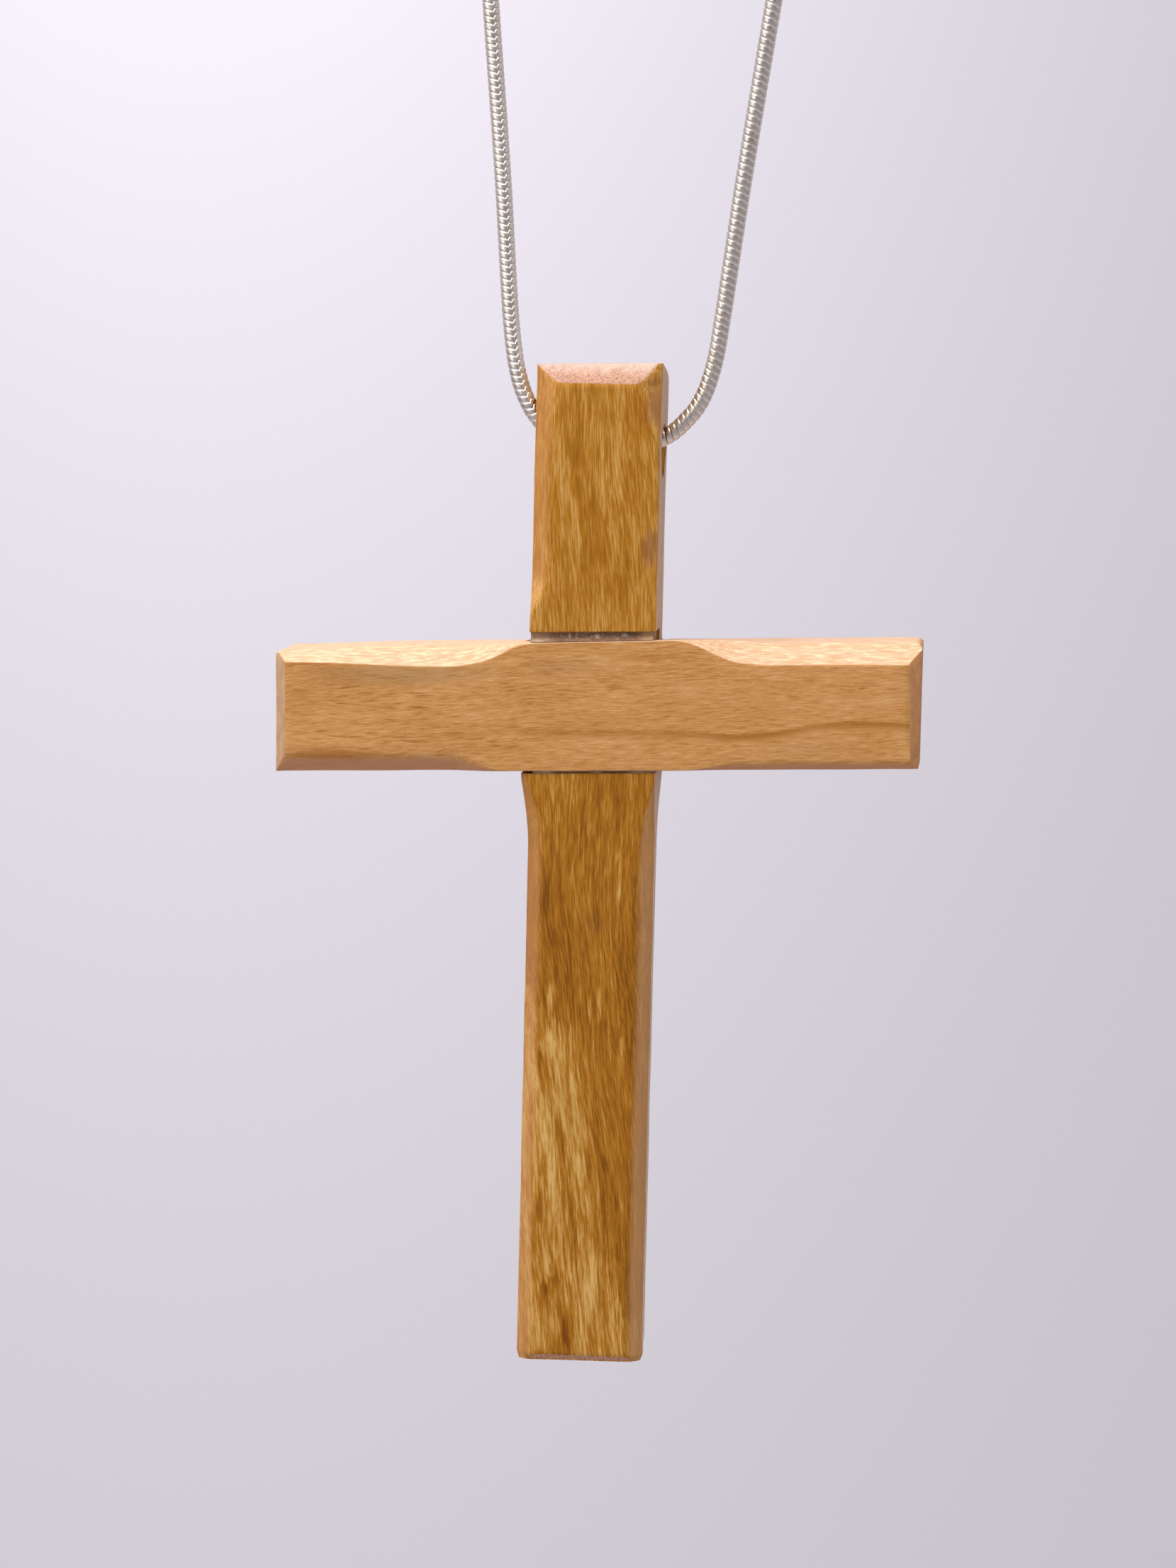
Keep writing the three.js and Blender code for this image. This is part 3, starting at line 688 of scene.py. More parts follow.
# The crossbar, in a frame of its own.
BAR_MIDDLE = -0.01819
BAR_AT = PENDANT_AT + Vector((0, 0, BAR_MIDDLE))
BAR_SKEW = math.radians(2.06)
BAR_FRAME = Matrix.Translation(BAR_AT) @ Matrix.Rotation(-BAR_SKEW, 4, "Y")
BAR_PROUD, BAR_ASIDE = 0.0002, 0.00035
BAR_END_BEVEL = 0.00075
LEFT_TOP_CUT, LEFT_BOTTOM_CUT = 0.00135, 0.001
RIGHT_TOP_CUT, RIGHT_BOTTOM_CUT = 0.00142, 0.00042
LEFT_CUT_INNER, LEFT_CUT_OUTER, RIGHT_CUT_INNER = 0.0104, 0.0217, 0.0109
CUT_STOP = 0.005
LEFT_TILT, RIGHT_TILT, END_TILT = 0.02, -0.012, 0.036
END_WEAR, END_WEAR_BEND = 0.0005, 2.5
END_CUT_LOSS = 0.7
LEFT_SLOPE, LEFT_SLOPE_LENGTH = 0.0002, 0.009
JOINT_WEAR, JOINT_WEAR_FROM, JOINT_WEAR_LENGTH = 0.00028, -0.0068, 0.0032
FRONT_RISE_AT = (-0.0078, -0.0045, 0.0015, 0.0065, 0.0095, 0.0125)
FRONT_RISE = (0.0, 0.00022, 0.0003, 0.00038, 0.00025, 0.0)
# The joint and the hole for the chain.
GLUE_FILM = 0.0002
TOP_SLACK, BOTTOM_SLACK, SIDE_SLACK = 0.00098, 0.00018, 0.00022
HOLE_RADIUS, HOLE_SLOPE, HOLE_HEIGHT = 0.00165, math.radians(9), 0.00078
MOUTH_EASE = 0.0004
MOUTH_BEND = ((0.4, 0.35), (1.0, 0.0))
DRILL_SIDES = 48


def soft(t):
    """From 0 to 1 as t does, with soft ends."""
    t = min(max(t, 0.0), 1.0)
    return t * t * (3 - 2 * t)


def run_out(t):
    """From 1 to 0 as t goes from 0 to 1, slowly at first."""
    return math.cos(min(max(t, 0.0), 1.0) * math.pi / 2)


def post_outline(z, cross):
    """The post's outline at a height: its sides, its carved front corners and its eased back."""
    bar_top = BAR_MIDDLE + cross.bar_height / 2
    bar_bottom = BAR_MIDDLE - cross.bar_height / 2
    bevel_foot = POST_TOP - TOP_BEVEL_HEIGHT
    stop = bar_top + STOP_ABOVE_BAR + STOP_LENGTH
    shoulder = bar_bottom - SHOULDER_BELOW_BAR
    bottom = POST_TOP - cross.post_length
    half, stock = cross.post_width / 2, cross.stock_width / 2
    front, lean, tilt = 0.0, 0.0, 0.0
    if z > bar_top:
        depth = max(bevel_foot - z, 0.0)
        fade = run_out((stop - z) / STOP_LENGTH)
        left_cut = EDGE_EASE + (UPPER_CHAMFER + CHAMFER_FLARE * math.exp(-depth / CORNER_REACH)) * fade
        right_cut = EDGE_EASE + CORNER_CUT * math.exp(-depth / CORNER_REACH)
        left = right = half
        lean = CORNER_WEAR * max(1 - (POST_TOP - z) / CORNER_WEAR_HEIGHT, 0.0) ** 2
        if z > bevel_foot:
            t = (z - bevel_foot) / TOP_BEVEL_HEIGHT
            rise = max(1 - t, 0.0)
            front, tilt = TOP_BEVEL * t, TOP_TILT * t
            left_cut = EDGE_EASE + (left_cut - EDGE_EASE) * rise**LEFT_RUN_OUT
            right_cut = TOP_CORNER_CUT + (right_cut - TOP_CORNER_CUT) * rise**RIGHT_RUN_OUT
    elif z > shoulder:
        share = soft((bar_top - STOCK_START - z) / STOCK_START)
        left = half + (stock - half) * share
        right = half + (stock - SHOULDER_TRIM - half) * share
        left_cut, right_cut = SHOULDER_CHAMFER, EDGE_EASE
    else:
        share = math.sin(min((shoulder - z) / SHOULDER_LENGTH, 1.0) * math.pi / 2)
        left = stock + (cross.lower_width / 2 - LOWER_ASIDE - stock) * share
        right = stock - SHOULDER_TRIM + (cross.lower_width / 2 + LOWER_ASIDE - stock + SHOULDER_TRIM) * share
        full = EDGE_EASE + LOWER_CHAMFER
        left_cut = SHOULDER_CHAMFER + (full - SHOULDER_CHAMFER) * share
        right_cut = EDGE_EASE + LOWER_CHAMFER * share
        lean = LOWER_LEAN * share
        foot = soft((bottom + BOTTOM_BEVEL_HEIGHT - z) / BOTTOM_BEVEL_HEIGHT)
        front = BOTTOM_BEVEL * foot
        left, right = left - BOTTOM_BEVEL / 2 * foot, right - BOTTOM_BEVEL / 2 * foot
        left_cut, right_cut = left_cut - BOTTOM_BEVEL * foot, right_cut - BOTTOM_BEVEL * foot
        tilt = BOTTOM_TILT * foot
    face, back = front - cross.thickness / 2, cross.thickness / 2
    corners = [
        (-left, face + left_cut),
        (left_cut - left, face),
        (right - right_cut, face),
        (right, face + right_cut),
        (right - lean, back - BACK_EASE),
        (right - lean - BACK_EASE, back),
        (BACK_EASE - left, back),
        (-left, back - BACK_EASE),
    ]
    worn, crisp = cross.worn_corner, cross.corner
    radii = [crisp, worn, worn, worn / 2, crisp, crisp, crisp, crisp]
    outline = rounded(corners, radii, 4, [3, 14, 3, 8, 1, 12, 1, 8])
    return [Vector((x, y, z + tilt * x)) for x, y in outline]


def front_rise(x):
    """How much higher the crossbar's upper front edge was left, beside the joint, than its back edge."""
    return float(np.interp(x, FRONT_RISE_AT, FRONT_RISE))


def bar_outline(x, cross):
    """The crossbar's outline at a place along it, in its own frame."""
    left_end = BAR_ASIDE - cross.bar_length / 2
    right_end = BAR_ASIDE + cross.bar_length / 2
    left_stop = run_out((x + LEFT_CUT_INNER) / CUT_STOP)
    right_stop = run_out((RIGHT_CUT_INNER - x) / CUT_STOP)
    outer = soft((-x - LEFT_CUT_INNER) / (LEFT_CUT_OUTER - LEFT_CUT_INNER))
    if x < 0:
        top_cut = EDGE_EASE + (LEFT_TOP_CUT - BAR_END_BEVEL / 2 * outer) * left_stop
        bottom_cut = EDGE_EASE + LEFT_BOTTOM_CUT * left_stop**3
    else:
        top_cut = EDGE_EASE + RIGHT_TOP_CUT * right_stop**2
        bottom_cut = EDGE_EASE + RIGHT_BOTTOM_CUT * right_stop**3
    front = 0.0
    left_bevel = (left_end + BAR_END_BEVEL - x) / BAR_END_BEVEL
    right_bevel = (x - right_end + BAR_END_BEVEL) / BAR_END_BEVEL
    if left_bevel > 0:
        front, tilt = BAR_END_BEVEL * left_bevel, LEFT_TILT
        top_cut = EDGE_EASE + (top_cut - EDGE_EASE) * (1 - left_bevel)
        bottom_cut = EDGE_EASE + (bottom_cut - EDGE_EASE) * (1 - left_bevel)
    elif right_bevel > 0:
        front, tilt = BAR_END_BEVEL * right_bevel, RIGHT_TILT + (END_TILT - RIGHT_TILT) * right_bevel
        top_cut *= 1 - END_CUT_LOSS * right_bevel
        bottom_cut = EDGE_EASE + (bottom_cut - EDGE_EASE) * (1 - right_bevel)
    else:
        tilt = LEFT_TILT * outer
        tilt += RIGHT_TILT * soft((x - RIGHT_CUT_INNER) / (right_end - BAR_END_BEVEL - RIGHT_CUT_INNER))
    face, back = front - cross.thickness / 2 - BAR_PROUD, cross.thickness / 2
    half = cross.bar_height / 2
    top = half
    for end in (x - left_end, right_end - x):
        top -= END_WEAR / 2 * max(1 - end / END_WEAR, 0.0) ** END_WEAR_BEND
    top -= LEFT_SLOPE * soft(1 - (x - left_end) / LEFT_SLOPE_LENGTH)
    top_cut += JOINT_WEAR * (1 - soft((x - JOINT_WEAR_FROM) / JOINT_WEAR_LENGTH)) * (1 - left_stop**2)
    corners = [
        (face + bottom_cut, -half),
        (back - BACK_EASE, -half),
        (back, BACK_EASE - half),
        (back, top - BACK_EASE),
        (back - BACK_EASE, top),
        (face + top_cut, top + front_rise(x)),
        (face, min(half - top_cut, top - EDGE_EASE) + front_rise(x)),
        (face, bottom_cut - half),
    ]
    crisp = cross.corner
    radii = [crisp, crisp, crisp, crisp, crisp, crisp * 2, crisp, cross.worn_corner]
    outline = rounded(corners, radii, 4, [8, 1, 12, 1, 8, 3, 14, 3])
    return [Vector((x + tilt * z, y, z)) for y, z in outline]


def stations(low, high, close_ends):
    """Places of the sections, closer together at the two carved ends."""
    ends = [close_ends * t for t in END_STATIONS]
    start, end = low + close_ends, high - close_ends
    inner = np.linspace(start, end, round((end - start) / RING_STEP))
    return [low + t for t in ends] + list(inner) + [high - t for t in reversed(ends)]


WOOD_SHINE = 0.16


class NECKLACE_OT_post(bpy.types.Operator):
    """Carve the post: chamfers, notch for the crossbar and hole for the chain"""

    bl_idname = "necklace.post"
    bl_label = "Post"

    def execute(self, context):
        cross = context.scene.necklace_cross
        heights = stations(POST_TOP - cross.post_length, POST_TOP, TOP_BEVEL_HEIGHT)
        outlines = [post_outline(z, cross) for z in heights]
        obj = carved_stick("carved_post", outlines, Matrix.Translation(PENDANT_AT))
        half = cross.bar_height / 2
        low = (-cross.stock_width, GLUE_FILM / 2 - cross.thickness, -half - BOTTOM_SLACK)
        high = (cross.stock_width, GLUE_FILM / 2, half + TOP_SLACK)
        carved(obj, [block(low, high, BAR_FRAME), self.drill(cross)])
        worn_edges(obj)
        obj.data.materials.append(self.wood(cross))
        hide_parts("post")
        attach(obj, "cross")
        return {"FINISHED"}

    def drill(self, cross):
        """The cutter for the slanted hole, with its eased mouths."""
        reach = cross.post_width / 2 / math.cos(HOLE_SLOPE)
        mouth = HOLE_RADIUS + MOUTH_EASE
        profile = [(reach + 2 * HOLE_RADIUS, mouth), (reach, mouth)]
        for inward, wider in MOUTH_BEND:
            profile.append((reach - MOUTH_EASE * inward, HOLE_RADIUS + MOUTH_EASE * wider))
        profile = [(-x, r) for x, r in profile] + [(x, r) for x, r in reversed(profile)]
        middle = PENDANT_AT + Vector((0, 0, HOLE_HEIGHT))
        move = Matrix.Translation(middle) @ Matrix.Rotation(HOLE_SLOPE, 4, "Y")
        vertices = []
        for x, radius in profile:
            for side in range(DRILL_SIDES):
                turn = side / DRILL_SIDES * 2 * math.pi
                vertices.append(move @ Vector((x, radius * math.cos(turn), radius * math.sin(turn))))
        return mesh_object("drill", vertices, tube_faces(len(profile), DRILL_SIDES))

    def wood(self, cross):
        """Dark, warm wood above; below, a paler half with dark flames, both with short pale fibres; painted
        light and reflection on the chamfers and the sides.
        """
        finish = Finish("post_olive_wood")
        place = finish.place(PENDANT_AT)
        x, y, z = finish.split(place)
        below = finish.math("MINIMUM", finish.scaled(z, 1.0, 32.0), 0.0)
        sway = finish.grained(place, self.SWAY, 1.0)
        lean = finish.scaled(below, 0.06, finish.scaled(z, 0.05, finish.scaled(sway, 2.4, -1.2)))
        across = finish.sum(x, lean)
        grain = finish.joined(across, y, z)
        fibre = finish.grained(grain, self.FIBRE, 2.0)
        torn = finish.scaled(fibre, 8.0, finish.scaled(z, 1.0, -4.0))
        fine = finish.grained(grain, self.FINE, 2.0)
        streak = finish.grained(grain, self.STREAK, 3.0, 0.6)
        broad = finish.grained(grain, self.BROAD, 1.0)
        licks = finish.joined(finish.scaled(across, 1.5), y, finish.scaled(torn, 0.11))
        flame = finish.noise(licks, detail=2.0)
        rim = finish.less(finish.course(torn, self.PALE_RIM), x)
        pale = finish.product(finish.ease(rim, -0.7, 0.7), finish.ease(flame, 0.36, 0.6, 0.04, 0.38))
        pale = finish.product(pale, finish.course(z, self.PALE_AT_FOOT))
        tone = finish.sum(finish.course(z, self.TONE), pale)
        tone = finish.scaled(streak, 0.7, finish.scaled(broad, 0.5, finish.scaled(tone, 1.0, -0.6)))
        crisp = finish.product(finish.ease(fine, 0.3, 0.7, -0.16, 0.2), finish.course(z, self.CRISPNESS))
        tone = finish.sum(tone, crisp)
        local = finish.joined(x, y, finish.scaled(torn, 0.35, finish.scaled(z, 0.65)))
        # Pale strokes, and a painted highlight where the left chamfer stops.
        tone = finish.sum(tone, finish.ovals(local, self.PALE_STROKES_AND_HIGHLIGHT))
        tone = finish.less(tone, finish.ovals(local, self.DARK_STROKES))
        body = finish.ramp(tone, [(0.0, cross.post_dark), (0.5, cross.post_mid), (1.0, cross.post_light)])
        # Dark patches; the one at the top right darkens the top of the right corner cut.
        body = finish.mix(finish.ovals(local, self.SMUDGES), body, self.SMUDGE)
        face_x, _, face_z = finish.facing()
        # Painted light: each chamfer turned paler by the way it faces, as lit from the left, with a painted
        # reflection of the pale room.
        for side, share, shade in self.CHAMFER_LIGHT:
            chamfer = finish.ease(face_x, side * 0.2, side * 0.66)
            body = finish.mix(finish.product(chamfer, finish.course(z, share)), body, shade)
        outward = finish.size(face_x)
        # Painted light: the side faces turned paler, as with the bright room's reflection and the light from
        # behind.
        low, high = (finish.mix(finish.ease(fine, 0.35, 0.65), *shades) for shades in self.LIT_SIDES)
        side_light = finish.mix(finish.ease(z, -25.0, -20.0), low, high)
        body = finish.mix(finish.product(finish.ease(outward, 0.86, 0.97), 0.85), body, side_light)
        tips = finish.sum(finish.ease(z, 4.0, 4.4), finish.ease(z, -64.45, -64.75))
        sawn = finish.product(finish.ease(finish.size(face_z), 0.35, 0.5), tips)
        sawn = finish.product(sawn, finish.ease(outward, 0.5, 0.25))
        finish.wear(
            Base_Color=finish.mix(sawn, body, self.sawn(finish, place, z, cross)),
            Roughness=finish.ease(streak, 0.3, 0.7, 0.46, 0.62),
            Specular_IOR_Level=WOOD_SHINE,
            Normal=finish.bump(fine, 0.3, 0.00003),
        )
        return finish.material

    def sawn(self, finish, place, z, cross):
        """Pinkish end grain, speckled with open pores, palest along its upper edge."""
        pores = finish.grained(place, self.PORES, 3.0, 0.7)
        streaks = finish.grained(place, self.SAWN_STREAKS, 2.0, move=(9, 0, 0))
        dark = [channel * 0.5 for channel in cross.end_grain]
        grain = finish.mix(finish.ease(pores, 0.37, 0.57), dark, cross.end_grain)
        high = finish.scaled(finish.less(streaks, 0.5), 1.6, z)
        return finish.mix(finish.ease(high, 4.9, 6.3, 0.0, 0.75), grain, self.SAWN_EDGE)

    # Scales of the grain: how often it changes in a millimetre along X, Y and Z.
    SWAY, BROAD, STREAK = (0.15, 0.15, 0.05), (0.55, 0.55, 0.1), (2.4, 2.4, 0.22)
    FIBRE, FINE = (5.5, 5.5, 0.5), (11, 11, 0.75)
    PORES, SAWN_STREAKS = (8.5, 8.5, 4.5), (2.2, 2.2, 0.5)
    SMUDGE, SAWN_EDGE = srgb(138, 88, 62), srgb(228, 200, 184)
    # Painted light and reflection on each chamfer by its side, stronger on the left: how much of it there is
    # at some heights, and the colour.
    CHAMFER_LIGHT = (
        (-1, ((-24.0, 0.42), (-14.0, 0.6), (-7.0, 0.3)), srgb(210, 152, 102)),
        (1, ((-24.0, 0.55), (-13.0, 0.1)), srgb(212, 164, 118)),
    )
    # The side faces, rough and painted pale as with the bright room's reflection and the light from behind,
    # below the crossbar and above it, dark and pale.
    LIT_SIDES = ((srgb(222, 190, 158), srgb(248, 222, 192)), (srgb(200, 164, 134), srgb(232, 200, 166)))
    # Courses: each a height and what is given there.
    PALE_AT_FOOT = ((-64.0, 0.6), (-58.0, 1.0))
    CRISPNESS = ((-28.0, 1.2), (-20.0, 1.0))
    TONE = ((-65.0, 0.4), (-61.5, 0.36), (-44.0, 0.32), (-33.0, 0.32), (-24.0, 0.4), (-20.0, 0.5))
    PALE_RIM = ((-62.5, 6.0), (-61.0, 2.6), (-55.0, 1.7), (-42.0, -0.8), (-36.5, -5.0))
    # Ovals: see Nodes.ovals.
    # The second is a painted highlight on the left chamfer's stop; the rest are pale strokes of the grain.
    PALE_STROKES_AND_HIGHLIGHT = (
        (3.88, 1.9, 0.3, 2.7, -15, 0.16), (-3.9, -9.9, 0.7, 1.5, 8, 0.2), (-2.4, -39.0, 0.3, 1.5, 0, 0.4),
        (1.12, -39.2, 0.26, 1.5, -8, 0.36), (0.4, -39.4, 0.2, 1.2, 0, 0.3),
        (2.75, -42.1, 0.28, 1.1, 0, 0.32), (1.9, -41.6, 0.14, 1.8, -4, 0.25),
        (-2.5, -42.2, 0.9, 1.2, 0, 0.3), (2.35, -30.6, 0.2, 1.9, 0, 0.25), (2.2, -28.7, 0.22, 0.9, 0, 0.25),
        (0.8, -28.4, 0.2, 1.6, 0, 0.2), (4.1, -34.2, 0.3, 1.6, 0, 0.25), (-2.3, -62.9, 1.2, 2.4, 0, 0.2),
        (0.9, -60.0, 0.6, 2.8, 0, 0.25),
    )
    DARK_STROKES = (
        (3.6, 2.1, 0.25, 2.9, -13, 0.16), (-2.6, -31.8, 0.9, 1.8, 0, 0.14), (0.6, -33.2, 0.7, 1.2, 0, 0.1),
        (-1.9, -59.6, 1.2, 0.8, -50, 0.3), (-0.6, -62.6, 0.5, 2.3, 0, 0.35),
        (-2.9, -53.6, 0.5, 2.0, -4, 0.3), (0.6, -51.0, 0.35, 2.6, -5, 0.25),
        (-1.5, -49.0, 0.5, 2.3, -8, 0.3), (-3.0, -43.5, 0.3, 1.3, 0, 0.2),
    )
    # Dark patches; the second darkens the top of the right corner cut.
    SMUDGES = (
        (3.9, -6.8, 0.75, 1.9, 4, 0.6), (4.0, 3.2, 0.9, 1.9, 0, 0.5), (0.6, -33.6, 1.3, 1.0, 0, 0.15),
        (-3.9, -31.4, 0.6, 1.5, 0, 0.2),
    )


class NECKLACE_OT_crossbar(bpy.types.Operator):
    """Carve the crossbar: chamfers that stop short of the joint, bevelled ends and the slot behind"""

    bl_idname = "necklace.crossbar"
    bl_label = "Crossbar"

    def execute(self, context):
        cross = context.scene.necklace_cross
        reach = cross.bar_length / 2
        places = stations(BAR_ASIDE - reach, BAR_ASIDE + reach, BAR_END_BEVEL)
        obj = carved_stick("carved_crossbar", [bar_outline(x, cross) for x in places], BAR_FRAME)
        reach = cross.stock_width / 2 + SIDE_SLACK
        low = (-reach, -GLUE_FILM / 2, -cross.bar_height)
        high = (reach, cross.thickness, cross.bar_height)
        carved(obj, [block(low, high, Matrix.Translation(BAR_AT))])
        worn_edges(obj)
        obj.data.materials.append(self.wood(cross))
        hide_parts("crossbar")
        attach(obj, "cross")
        return {"FINISHED"}

    def wood(self, cross):
        """Pale wood with fine level grain, short dark pores and one olive band, with painted light and
        glints on its upper chamfers and a painted reflection on its lower ones.
        """
        finish = Finish("crossbar_olive_wood")
        place = finish.place(BAR_AT, BAR_SKEW)
        x, y, z = finish.split(place)
        sway = finish.grained(place, self.SWAY, 1.0)
        across = finish.sum(z, finish.scaled(sway, 1.3, finish.course(x, self.RISE)))
        grain = finish.joined(x, y, across)
        fibre = finish.grained(grain, self.FIBRE, 2.0)
        torn = finish.scaled(fibre, 6.0, finish.scaled(x, 1.0, -3.0))
        fine = finish.grained(grain, self.FINE, 3.0, 0.7)
        streak = finish.grained(grain, self.STREAK, 3.0, 0.6)
        broad = finish.grained(place, self.BROAD, 1.0)
        tone = finish.scaled(streak, 0.44, finish.scaled(fine, 1.5, finish.scaled(broad, 0.36, -0.63)))
        pores = finish.grained(grain, self.PORE, 1.0, move=(3, 0, 7))
        pores = finish.product(finish.ease(pores, 0.64, 0.72), finish.course(x, self.PORES))
        marks = finish.most(pores, finish.ovals(place, self.DASHES))
        tone = finish.less(tone, finish.product(marks, 0.36))
        body = finish.ramp(tone, [(0.0, cross.bar_dark), (0.5, cross.bar_mid), (1.0, cross.bar_light)])
        local = finish.joined(torn, y, z)
        body = finish.mix(finish.ovals(local, self.OLIVE), body, srgb(158, 122, 76))
        body = finish.mix(finish.ovals(local, self.ORANGE), body, srgb(166, 100, 34))
        over = finish.less(z, finish.course(x, self.BAND))
        over = finish.scaled(finish.less(fine, 0.5), 0.5, over)
        band = finish.product(finish.ease(over, 0.16, -0.12), finish.ease(over, -0.75, -0.1))
        band = finish.product(band, finish.course(x, self.BAND_STRENGTH))
        body = finish.mix(band, body, srgb(160, 102, 32))
        face_x, _, face_z = finish.facing()
        # Painted light: up-facing chamfers pale, with painted glints, as lit from above; down-facing ones
        # tinted with a painted reflection of the pale room.
        glint = finish.grained(grain, self.GLINT, 4.0, 0.6, (5, 0, 0))
        body = finish.mix(finish.ease(face_z, 0.35, 0.6), body, finish.ramp(glint, self.TOP_CUT_LIGHT))
        body = finish.mix(finish.ease(face_z, -0.35, -0.6, 0.0, 0.7), body, self.BOTTOM_CUT_REFLECTION)
        shade = finish.ease(finish.grained(place, self.MOTTLE, 4.0, 0.6), 0.3, 0.7, 0.85, 1.1)
        for side, sawn in self.ENDS:
            end = finish.mix(1.0, sawn, shade, "MULTIPLY")
            body = finish.mix(finish.ease(face_x, side * 0.3, side * 0.6), body, end)
        finish.wear(
            Base_Color=body,
            Roughness=finish.ease(streak, 0.3, 0.7, 0.45, 0.6),
            Specular_IOR_Level=WOOD_SHINE,
            Normal=finish.bump(fine, 0.25, 0.00002),
        )
        return finish.material

    # Scales of the grain, as on the post.
    SWAY, BROAD, STREAK = (0.07, 0.25, 0.25), (0.14, 0.5, 0.5), (0.2, 2.2, 2.2)
    FIBRE, FINE = (0.5, 6.0, 6.0), (0.8, 10.0, 10.0)
    PORE, GLINT, MOTTLE = (0.6, 11.0, 11.0), (0.9, 6.5, 6.5), (2.0, 2.0, 1.2)
    # Painted light with glints on the up-facing chamfers, a painted reflection on the down-facing ones, and
    # the colours of the two sawn ends.
    TOP_CUT_LIGHT = ((0.32, srgb(216, 162, 124)), (0.5, srgb(226, 182, 144)), (0.7, srgb(244, 216, 180)))
    BOTTOM_CUT_REFLECTION = srgb(202, 148, 110)
    ENDS = ((-1, srgb(200, 158, 122)), (1, srgb(204, 146, 96)))
    # Courses: each a place along the bar and what is given there, for the band the height of its edge.
    RISE = ((-22.0, 0.3), (-5.0, -0.6), (22.0, -1.6))
    PORES = ((-22.0, 0.7), (-6.0, 0.8), (0.0, 0.35), (10.0, 0.12))
    BAND = (
        (-9.0, -0.95), (-5.67, -1.19), (-1.65, -1.51), (3.35, -1.53), (7.35, -1.65), (9.49, -1.91),
        (11.68, -1.82), (13.82, -1.56), (15.47, -1.28), (17.06, -1.04), (19.19, -0.99), (22.21, -1.11),
    )
    BAND_STRENGTH = (
        (-9.0, 0.0), (-4.0, 0.35), (3.0, 0.45), (7.5, 0.55), (10.5, 0.9), (13.0, 0.85), (16.0, 0.5),
        (19.0, 0.8), (22.3, 0.75),
    )
    DASHES = (
        (-12.3, 1.15, 1.1, 0.1, 2, 0.7), (-12.2, 0.14, 1.2, 0.14, 2, 0.8), (-10.3, 0.28, 0.8, 0.1, -2, 0.6),
        (-15.5, -1.65, 0.7, 0.12, -5, 0.7), (-14.5, -1.91, 0.9, 0.1, -6, 0.7),
        (-9.7, -1.68, 1.2, 0.1, -3, 0.6), (-12.5, -2.27, 1.6, 0.16, 3, 0.7), (-6.7, -2.6, 0.8, 0.1, 0, 0.6),
        (-17.2, -1.9, 1.9, 0.14, 2, 0.6), (21.4, 1.28, 0.9, 0.13, 2, 0.8), (19.1, 1.34, 0.35, 0.1, 0, 0.6),
        (9.44, -1.81, 0.07, 0.07, 0, 1.5),
    )
    OLIVE = (
        (-13.0, 2.6, 8.5, 1.3, -1, 0.45), (-2.0, 3.0, 4.0, 0.8, 0, 0.25), (15.0, -3.0, 4.5, 0.7, 0, 0.2),
    )
    ORANGE = (
        (-18.5, -3.2, 4.5, 0.8, 3, 0.6), (-20.0, 3.35, 3.0, 0.3, 0, 0.4), (4.0, 3.6, 2.5, 0.4, 0, 0.3),
    )


# Glue above and below the crossbar, and what was pressed out at the sides.
GLUE_GAP = 0.00002
GLUE_HALF, GLUE_ASIDE = 0.00432, 0.00016
GLUE_AT_BAR, GLUE_AT_POST = -0.00364, -0.00345
TOP_HOLLOW, BOTTOM_HOLLOW = 0.00024, 0.00008
RIPPLE, RIPPLE_SIZE = 0.35, 0.0006
GLUE_STEPS, GLUE_LEVELS = 90, 8
SPILL_DROP, SPILL_RISE, SPILL_WIDTH, SPILL_BACK = 0.0012, 0.00022, 0.0002, 0.0033
SPILL_STEPS, SPILL_WAVE = 24, 0.0007


